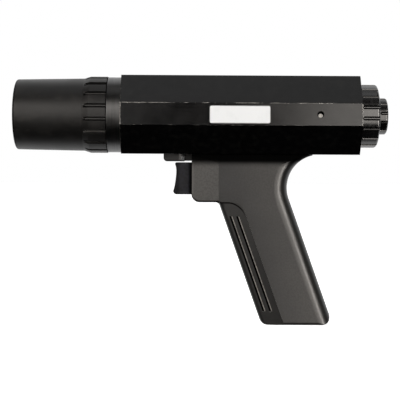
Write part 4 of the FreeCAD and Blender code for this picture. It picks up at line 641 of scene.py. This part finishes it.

# %% [markdown]
# The lower front corner of the trigger's block is round. Just inside its outline the corner
# gets a painted highlight, and the outline itself and the underside get painted shade. The
# distance to the round outline is found as for the step: from the corner's middle, and straight
# beside it.
# The top of the grip lies close under the housing, and is darkened there with painted shade.

# %% Edges of the block
block_round = 5.5                                 # radius of the block's lower front corner
to_front = grip.past(grip_front + block_round, grip.x)
to_under = grip.past(block_under + block_round, grip.z)
inside_edge = grip.calc("SUBTRACT", block_round, grip.distance(to_front, to_under))
edge_highlight = grip.times(grip.ease(grip.z, block_under + 3.0, block_under + 7.0),
                         grip.line(inside_edge, 0.85, 0.2, 0.5, 0.7))
# Painted highlight just inside the round corner.
grip.tint(grip.times(on_block, edge_highlight), (0.075, 0.071, 0.066))
# Painted shade along the underside and the outline.
shade_under = grip.times(grip.ease(inside_edge, 0.6, 1.8, 0.92, 0.0),
                         grip.ease(grip.z, block_under + 1.0, block_under + 5.0, 1.0, 0.0))
edge_shade = grip.calc("MAXIMUM", shade_under, grip.ease(inside_edge, 0.2, 0.5, 0.85, 0.0))
ahead_of_handle = grip.ease(grip.x, strap_front - 1.0, strap_front + 1.0, 1.0, 0.0)
grip.paint_shade(grip.times(ahead_of_handle, edge_shade))
# Painted shade under the housing, on the top of the grip.
grip.paint_shade(grip.ease(grip.z, grip_top - 9.5, grip_top - 3.8, 0.0, 0.99))
print(grip.material.name, len(grip.tree.nodes), "nodes")

# %% [markdown]
# ## Saddle
# The saddle is a blacker plastic from a smoother mould. Only its nose shows, ahead of the grip.
# Just before the grip the nose gets a painted highlight, and painted shade lies in the joint
# itself, along the underside and on the front edge. Bevelled edges would catch light by
# themselves. On a nose of five millimetres soft steps in the colour read the same and leave the
# mesh alone.

# %% Saddle moulding
saddle_low, saddle_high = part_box("grip_saddle")
saddle_front, nose_length, nose_height = saddle_low.x * 1000, 14.3, 5.1
nose_end, nose_under = saddle_front + nose_length, saddle_high.z * 1000 - nose_height
saddle = Finish("saddle_moulding", (0.0035, 0.0035, 0.0037), 0.36, Specular_IOR_Level=0.38)
saddle.relief(saddle.grain(0.35, 1.0), 0.006)
saddle.dull(saddle.ease(saddle.grain(6.0, 3.0), 0.3, 0.7, 0.32, 0.42))
# Painted highlight on the nose's rounded end, just before the grip.
wear_and_highlight = saddle.times(saddle.ease(saddle.x, nose_end - 2.6, nose_end - 1.4, 0.0, 0.9),
                      saddle.ease(saddle.z, nose_under + 0.3, nose_under + 1.5, 0.4, 1.0))
saddle.tint(wear_and_highlight, (0.62, 0.62, 0.62))
# Painted shade in the joint behind the nose.
saddle.paint_shade(saddle.ease(saddle.x, nose_end - 0.2, nose_end + 0.1, 0.0, 0.95))
# Painted shade along the underside and the front edge.
under_edge = saddle.ease(saddle.z, nose_under + 0.5, nose_under + 1.3, 0.85, 0.0)
front_edge = saddle.ease(saddle.x, saddle_front + 0.4, saddle_front + 1.0, 0.7, 0.0)
saddle.paint_shade(saddle.calc("MAXIMUM", under_edge, front_edge))
print(saddle.material.name, "nose from", round(saddle_front, 1), "to", round(nose_end, 1), "mm")

# %% [markdown]
# ## Trigger
# The trigger is black too, with a trace of blue, and dull from the finger. It slides into the
# grip, and painted shade darkens it towards its slot; its front rim is painted darker, as shade,
# because it curves away.
# These marks are placed in the trigger's own coordinates. In the scene's coordinates they would
# stand still, and the trigger would slide out from under them when it is pulled.

# %% Trigger moulding
slot_shade, front_rim_shade = (-9.4, -7.6), (-16.4, -14.0)      # along X, in mm
trigger = Finish("trigger_moulding", (0.0028, 0.0028, 0.004), 0.46, Specular_IOR_Level=0.25)
trigger.relief(trigger.grain(0.30, 1.0), 0.008)
trigger.dull(trigger.ease(trigger.grain(4.0, 3.0), 0.3, 0.7, 0.38, 0.52))
trigger.tint(trigger.ease(trigger.grain(1.6, 3.0), 0.38, 0.66), (0.0060, 0.0064, 0.0100))
# Painted shade towards the slot, and on the front rim.
trigger.paint_shade(trigger.ease(trigger.x, *slot_shade, 0.0, 0.85))
trigger.paint_shade(trigger.ease(trigger.x, *front_rim_shade, 0.50, 0.0))
print(trigger.material.name)

# %% [markdown]
# ## The bare plate
# A thin plate is stuck to the side flat. It is left plain: white enamel on metal, a little
# uneven, with a fine grey line at its rim where the enamel thins out. The line follows from
# the distance to the nearer edge, so it needs no drawing and fits the plate at any size.

# %% White plate
plate = Finish("white_enamel", (0.78, 0.80, 0.82), 0.30)
plate_low, plate_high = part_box("label_plate")
middle, half = (plate_low + plate_high) * 500, (plate_high - plate_low) * 500
from_end = plate.calc("SUBTRACT", half.x, plate.apart(plate.x, middle.x))
from_side = plate.calc("SUBTRACT", half.z, plate.apart(plate.z, middle.z))
rim = plate.calc("MINIMUM", from_end, from_side)
plate.tint(plate.ease(rim, 0.15, 0.55, 1.0, 0.0), (0.30, 0.30, 0.30))
plate.tint(plate.ease(plate.grain(5.0, 4.0), 0.5, 0.8, 0.0, 0.5), (0.70, 0.72, 0.735))
plate.dull(plate.ease(plate.grain(3.0, 3.0), 0.3, 0.7, 0.285, 0.40))
plate.relief(plate.grain(2.5, 1.0), 0.004)
print(plate.material.name, "half size in mm", [round(v, 2) for v in half])

# %% [markdown]
# ## Metals of the small parts
# Screws, nuts and pins are zinc-plated or plain steel, the potentiometer and the socket are
# nickel-plated, contacts are gilt. Each could be mixed by hand. One recipe, a metallic shader
# with uneven gloss and blotches of tarnish, keeps them one family that differs in colour,
# gloss and the size of the blotches.

# %% Plated metals
def plated(name, colour, roughness, tarnish, size=0.8):
    """A metal with small variations of gloss and a little tarnish."""
    metal = Finish(name, colour, roughness, Metallic=1.0)
    metal.dull(metal.ease(metal.grain(size, 3.0), 0.3, 0.7, roughness * 0.75, roughness * 1.35))
    metal.tint(metal.ease(metal.grain(size * 3, 4.0), 0.5, 0.8, 0.0, 0.7), tarnish)
    return metal.relief(metal.grain(size * 0.4, 1.0), 0.002)


steel = plated("zinc_plated_steel", (0.60, 0.59, 0.56), 0.28, (0.36, 0.34, 0.31))
nickel = plated("nickel_plating", (0.68, 0.65, 0.60), 0.18, (0.45, 0.42, 0.37))
gilt = plated("gilt_contacts", (0.85, 0.62, 0.27), 0.20, (0.55, 0.36, 0.14), 0.5)
aluminium = plated("bare_aluminium_sheet", (0.76, 0.76, 0.77), 0.36, (0.55, 0.55, 0.55), 1.5)
aluminium.relief(aluminium.grain(0.3, 1.0, stretch=(1, 30, 1)), 0.004)
mirror = plated("reflector_mirror", (0.91, 0.91, 0.92), 0.05, (0.84, 0.84, 0.85), 4.0)
print([metal.material.name for metal in (steel, nickel, gilt, aluminium, mirror)])

# %% [markdown]
# ## The side screw
# The screw sits deep in a hole of the side flat, finely stained. Only the lower part of its
# head gets light, and the rest is shaded by the hole's rim. The soft boxes stand in front and
# reach the whole head, so the shade is painted: a dark crescent of painted shade, outside a bright
# circle whose middle lies a little below the middle of the screw.

# %% Side screw
lit_below, lit_core, lit_reach = 0.9, 1.25, 1.65      # a round bright spot, in mm
side_screw = plated("side_screw_zinc", (0.26, 0.255, 0.245), 0.34, (0.015, 0.015, 0.015), 0.16)
screw_low, screw_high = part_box("side_screws")
screw_x, screw_z = (500 * (screw_low + screw_high)).xz
off_spot = side_screw.distance(side_screw.calc("SUBTRACT", side_screw.x, screw_x),
                               side_screw.calc("SUBTRACT", side_screw.z, screw_z - lit_below))
shaded = side_screw.ease(off_spot, lit_core, lit_reach)
# Painted shade: the crescent outside the lit spot.
side_screw.paint_shade(shaded)
side_screw.join(side_screw.calc("SUBTRACT", 1.0, shaded), side_screw.shader.inputs["Metallic"])
print(side_screw.material.name, "at", round(screw_x, 2), round(screw_z, 2), "mm")

# %% [markdown]
# ## Glass, tube and ceramic
# The lens is real refracting glass, so the reflector and the U-shaped xenon tube show through it.
# Plain transparency would be quicker to render, but the lens wouldn't magnify anything.
# The tube's quartz is browned near the electrodes, where every flash sputters a little metal
# onto the wall. The holder is unglazed white ceramic.

# %% Glass and ceramic
lens_glass = Finish("lens_glass_polished", (0.97, 0.985, 0.98), 0.01,
                    Transmission_Weight=1.0, IOR=1.52)
lens_glass.dull(lens_glass.ease(lens_glass.grain(2.0, 4.0), 0.55, 0.85, 0.0, 0.06))

quartz = Finish("flash_tube_quartz", (0.97, 0.98, 1.0), 0.02, Transmission_Weight=1.0, IOR=1.46)
quartz.tint(quartz.ease(quartz.x, -68.0, -59.0), (0.50, 0.42, 0.33))
quartz.dull(quartz.ease(quartz.grain(1.0, 3.0), 0.5, 0.8, 0.01, 0.08))

ceramic = Finish("unglazed_ceramic", (0.78, 0.765, 0.72), 0.75)
ceramic.tint(ceramic.ease(ceramic.grain(2.5, 4.0), 0.5, 0.8, 0.0, 0.6), (0.66, 0.64, 0.58))
ceramic.relief(ceramic.grain(0.25, 2.0), 0.02)
print(lens_glass.material.name, quartz.material.name, ceramic.material.name)

# %% [markdown]
# ## The circuit board
# The board is glass-fibre laminate under green lacquer, with copper tracks that show as a
# lighter green and stand a little proud. A brick pattern's joints give tracks that run along
# and across, which is enough for a board that sits deep in the housing.

# %% Circuit board
board = Finish("green_lacquered_board", (0.012, 0.085, 0.032), 0.30)
tracks = board.add("ShaderNodeTexBrick", offset=0.5, squash=1.0)
for socket in ("Color1", "Color2"):
    tracks.inputs[socket].default_value = (0, 0, 0, 1)
tracks.inputs["Mortar"].default_value = (1, 1, 1, 1)
tracks.inputs["Scale"].default_value = 0.18
tracks.inputs["Mortar Size"].default_value = 0.06
board.join(board.mm, tracks.inputs["Vector"])
board.tint(tracks.outputs["Color"], (0.035, 0.20, 0.075))
board.relief(tracks.outputs["Color"], 0.035)
board.dull(board.ease(board.grain(4.0, 3.0), 0.3, 0.7, 0.24, 0.38))
print(board.material.name)

# %% [markdown]
# The parts on the board are plain mouldings and coatings, each with its own colour and gloss: a
# shrink sleeve on the capacitor, dull ferrite, resin around the trigger coil, epoxy chips. They
# could be flat colours, as they are inside, but then they'd look unfinished when the housing is
# taken off. One small recipe gives them all mottling and a fine relief.

# %% Component coatings
def coating(name, colour, roughness, mottle, size, depth):
    """A moulded or dipped coat with light mottling."""
    coat = Finish(name, colour, roughness)
    coat.tint(coat.ease(coat.grain(size, 3.0), 0.45, 0.8, 0.0, 0.8), mottle)
    coat.dull(coat.ease(coat.grain(size * 2, 3.0), 0.3, 0.7, roughness * 0.85, roughness * 1.15))
    return coat.relief(coat.grain(size * 0.3, 1.0), depth)


sleeve_blue = coating("capacitor_shrink_sleeve", (0.02, 0.045, 0.17), 0.22,
                      (0.03, 0.07, 0.24), 3.0, 0.004)
ferrite = coating("sintered_ferrite", (0.035, 0.035, 0.038), 0.62,
                  (0.07, 0.07, 0.072), 0.6, 0.03)
resin = coating("trigger_coil_resin", (0.035, 0.028, 0.022), 0.25,
                (0.055, 0.045, 0.035), 2.0, 0.01)
epoxy = coating("chip_epoxy", (0.012, 0.012, 0.013), 0.50, (0.03, 0.03, 0.03), 0.5, 0.01)
film = coating("film_capacitor_dip", (0.62, 0.36, 0.025), 0.24, (0.70, 0.46, 0.06), 2.0, 0.01)
terminal = coating("terminal_block_nylon", (0.02, 0.20, 0.06), 0.38,
                   (0.03, 0.26, 0.09), 1.5, 0.008)
switch = coating("switch_case_nylon", (0.24, 0.02, 0.015), 0.40,
                 (0.30, 0.035, 0.025), 1.5, 0.008)
insulator = coating("socket_insulator", (0.013, 0.013, 0.013), 0.40,
                    (0.024, 0.023, 0.022), 1.0, 0.008)
rubber = coating("gasket_rubber_black", (0.014, 0.014, 0.014), 0.78,
                 (0.03, 0.029, 0.028), 0.6, 0.02)
print("mottled:", [coat.material.name for coat in (sleeve_blue, ferrite, resin, epoxy, film,
                                                   terminal, switch, insulator, rubber)])

# %% [markdown]
# ## Turns, bands and braid
# Three pieces have a regular pattern. The transformer's winding is many turns of enamelled wire,
# the resistors are marked with coloured stripes on beige lacquer, and the wires up the grip are
# held in a braided sleeve. A sine along one axis gives the turns. The stripes come from the
# place along the row of resistors, folded back and forth. Two sines along crossing directions
# give the braid, where the higher of the two is the strand on top.

# %% Winding, bands and braid
def ripples(finish, place, pitch):
    """A sine wave along one axis, one ripple each pitch millimetres."""
    return finish.ease(finish.calc("SINE", finish.times(place, 2 * pi / pitch)), -1.0, 1.0)


winding = Finish("enamelled_copper_turns", (0.46, 0.15, 0.045), 0.25, Metallic=1.0)
turn_pitch = 0.45
wire_turns = ripples(winding, winding.x, turn_pitch)
winding.relief(wire_turns, 0.12)
winding.tint(winding.ease(wire_turns, 0.0, 0.35, 1.0, 0.0), (0.12, 0.03, 0.01))
winding.dull(winding.ease(winding.grain(1.0, 2.0), 0.3, 0.7, 0.2, 0.34))

resistor = Finish("resistor_beige_lacquer", (0.55, 0.40, 0.22), 0.32)
red, brown, orange = (0.30, 0.02, 0.01), (0.05, 0.02, 0.008), (0.50, 0.16, 0.01)
row_start, fold_length, half_stripe = 20.35, 4.4, 0.27     # in mm, along X
along_row = resistor.calc("PINGPONG", resistor.calc("SUBTRACT", resistor.x, row_start),
                          fold_length)
for place, colour in ((1.1, red), (2.1, brown), (3.1, orange)):
    resistor.tint(resistor.calc("COMPARE", along_row, place, half_stripe), colour)
resistor.relief(resistor.grain(0.5, 1.0), 0.01)

braid = Finish("wire_sleeve_braid", (0.012, 0.012, 0.012), 0.62)
strand_pitch = 1.1
one_way, other_way = (
    ripples(braid, braid.calc(sign, braid.z, braid.calc(sign, braid.y, braid.x)), strand_pitch)
    for sign in ("ADD", "SUBTRACT"))
weave = braid.calc("MAXIMUM", one_way, other_way)
braid.relief(weave, 0.15)
braid.tint(braid.ease(weave, 0.5, 1.0), (0.035, 0.035, 0.036))
print(winding.material.name, resistor.material.name, braid.material.name)

# %% [markdown]
# ## Dress the pieces
# Every CAD piece came with a plain material named after its slot. Each slot gets its finish by
# that name, so twins share one finish and no piece can be forgotten. The side screws are steel
# like the other screws, and get their own stained finish afterwards.

# %% Give every piece its finish
finish_of = {
    "black_paint": paint, "grey_collar": collar, "barrel_black": barrel, "cell_black": cell,
    "knob_black": knob, "grip_plastic": grip, "saddle_plastic": saddle,
    "trigger_plastic": trigger, "label_white": plate, "steel": steel, "nickel": nickel,
    "mirror_metal": mirror, "bare_aluminium": aluminium, "quartz": quartz,
    "lens_glass": lens_glass, "white_ceramic": ceramic, "green_board": board,
    "blue_sleeve": sleeve_blue, "ferrite": ferrite, "copper_winding": winding,
    "potting": resin, "chip_black": epoxy, "resistor_body": resistor, "film_yellow": film,
    "terminal_green": terminal, "switch_red": switch, "insert_black": insulator,
    "gold_contact": gilt, "gasket_rubber": rubber, "loom_black": braid}
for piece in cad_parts.values():
    for holder in piece.material_slots:
        holder.material = finish_of[holder.material.name].material
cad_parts["side_screws"].material_slots[0].material = side_screw.material
print("dressed", len(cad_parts), "pieces in", len(finish_of) + 1, "finishes")

# %% [markdown]
# ## The trigger's return spring
# The spring is a coil of six turns of steel wire between the trigger and a seat in the grip. It
# could be a curve with a bevel; here it is a mesh. A ring of points is carried along the helix:
# each ring stands square to the wire, which runs ahead by one pitch a turn.

# %% Rings along the wire
spring_low, spring_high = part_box("trigger_spring")
wire_radius, turns, steps_per_turn, points_around = 0.00035, 6, 36, 10
coil_radius = (spring_high.z - spring_low.z) / 2 - wire_radius
spring_axis = (spring_high + spring_low) / 2
travel = spring_high.x - spring_low.x - 2 * wire_radius
last_step = turns * steps_per_turn

shape = bmesh.new()
rings = []
for i in range(last_step + 1):
    angle = 2 * pi * i / steps_per_turn
    outward = Vector((0, cos(angle), sin(angle)))
    x = spring_low.x + wire_radius + travel * i / last_step
    centre = Vector((x, spring_axis.y, spring_axis.z)) + outward * coil_radius
    ahead = Vector((travel / turns / (2 * pi), -sin(angle) * coil_radius,
                    cos(angle) * coil_radius)).normalized()
    side = ahead.cross(outward)
    rings.append([shape.verts.new(centre + (outward * cos(t) + side * sin(t)) * wire_radius)
                  for t in (2 * pi * k / points_around for k in range(points_around))])
print(len(rings), "rings, coil radius", round(coil_radius * 1000, 2), "mm")

# %% [markdown] Neighbouring rings are joined by four-sided faces and both ends are closed.

# %% Coil spring
for first, second in zip(rings, rings[1:]):
    for k in range(points_around):
        after = (k + 1) % points_around
        shape.faces.new((first[k], first[after], second[after], second[k]))
shape.faces.new(rings[0])
shape.faces.new(list(reversed(rings[-1])))
bmesh.ops.recalc_face_normals(shape, faces=shape.faces)
mesh = bpy.data.meshes.new("coil_spring")
shape.to_mesh(mesh)
shape.free()
mesh.shade_smooth()
mesh.materials.append(steel.material)
spring = bpy.data.objects.new("coil_spring", mesh)
bpy.context.scene.collection.objects.link(spring)
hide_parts("trigger_spring")
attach(spring, "frame")
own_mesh(spring)
print("spring:", len(mesh.polygons), "faces")

low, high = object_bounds()
print("box in mm:", [round(v * 1000, 1) for v in high - low])
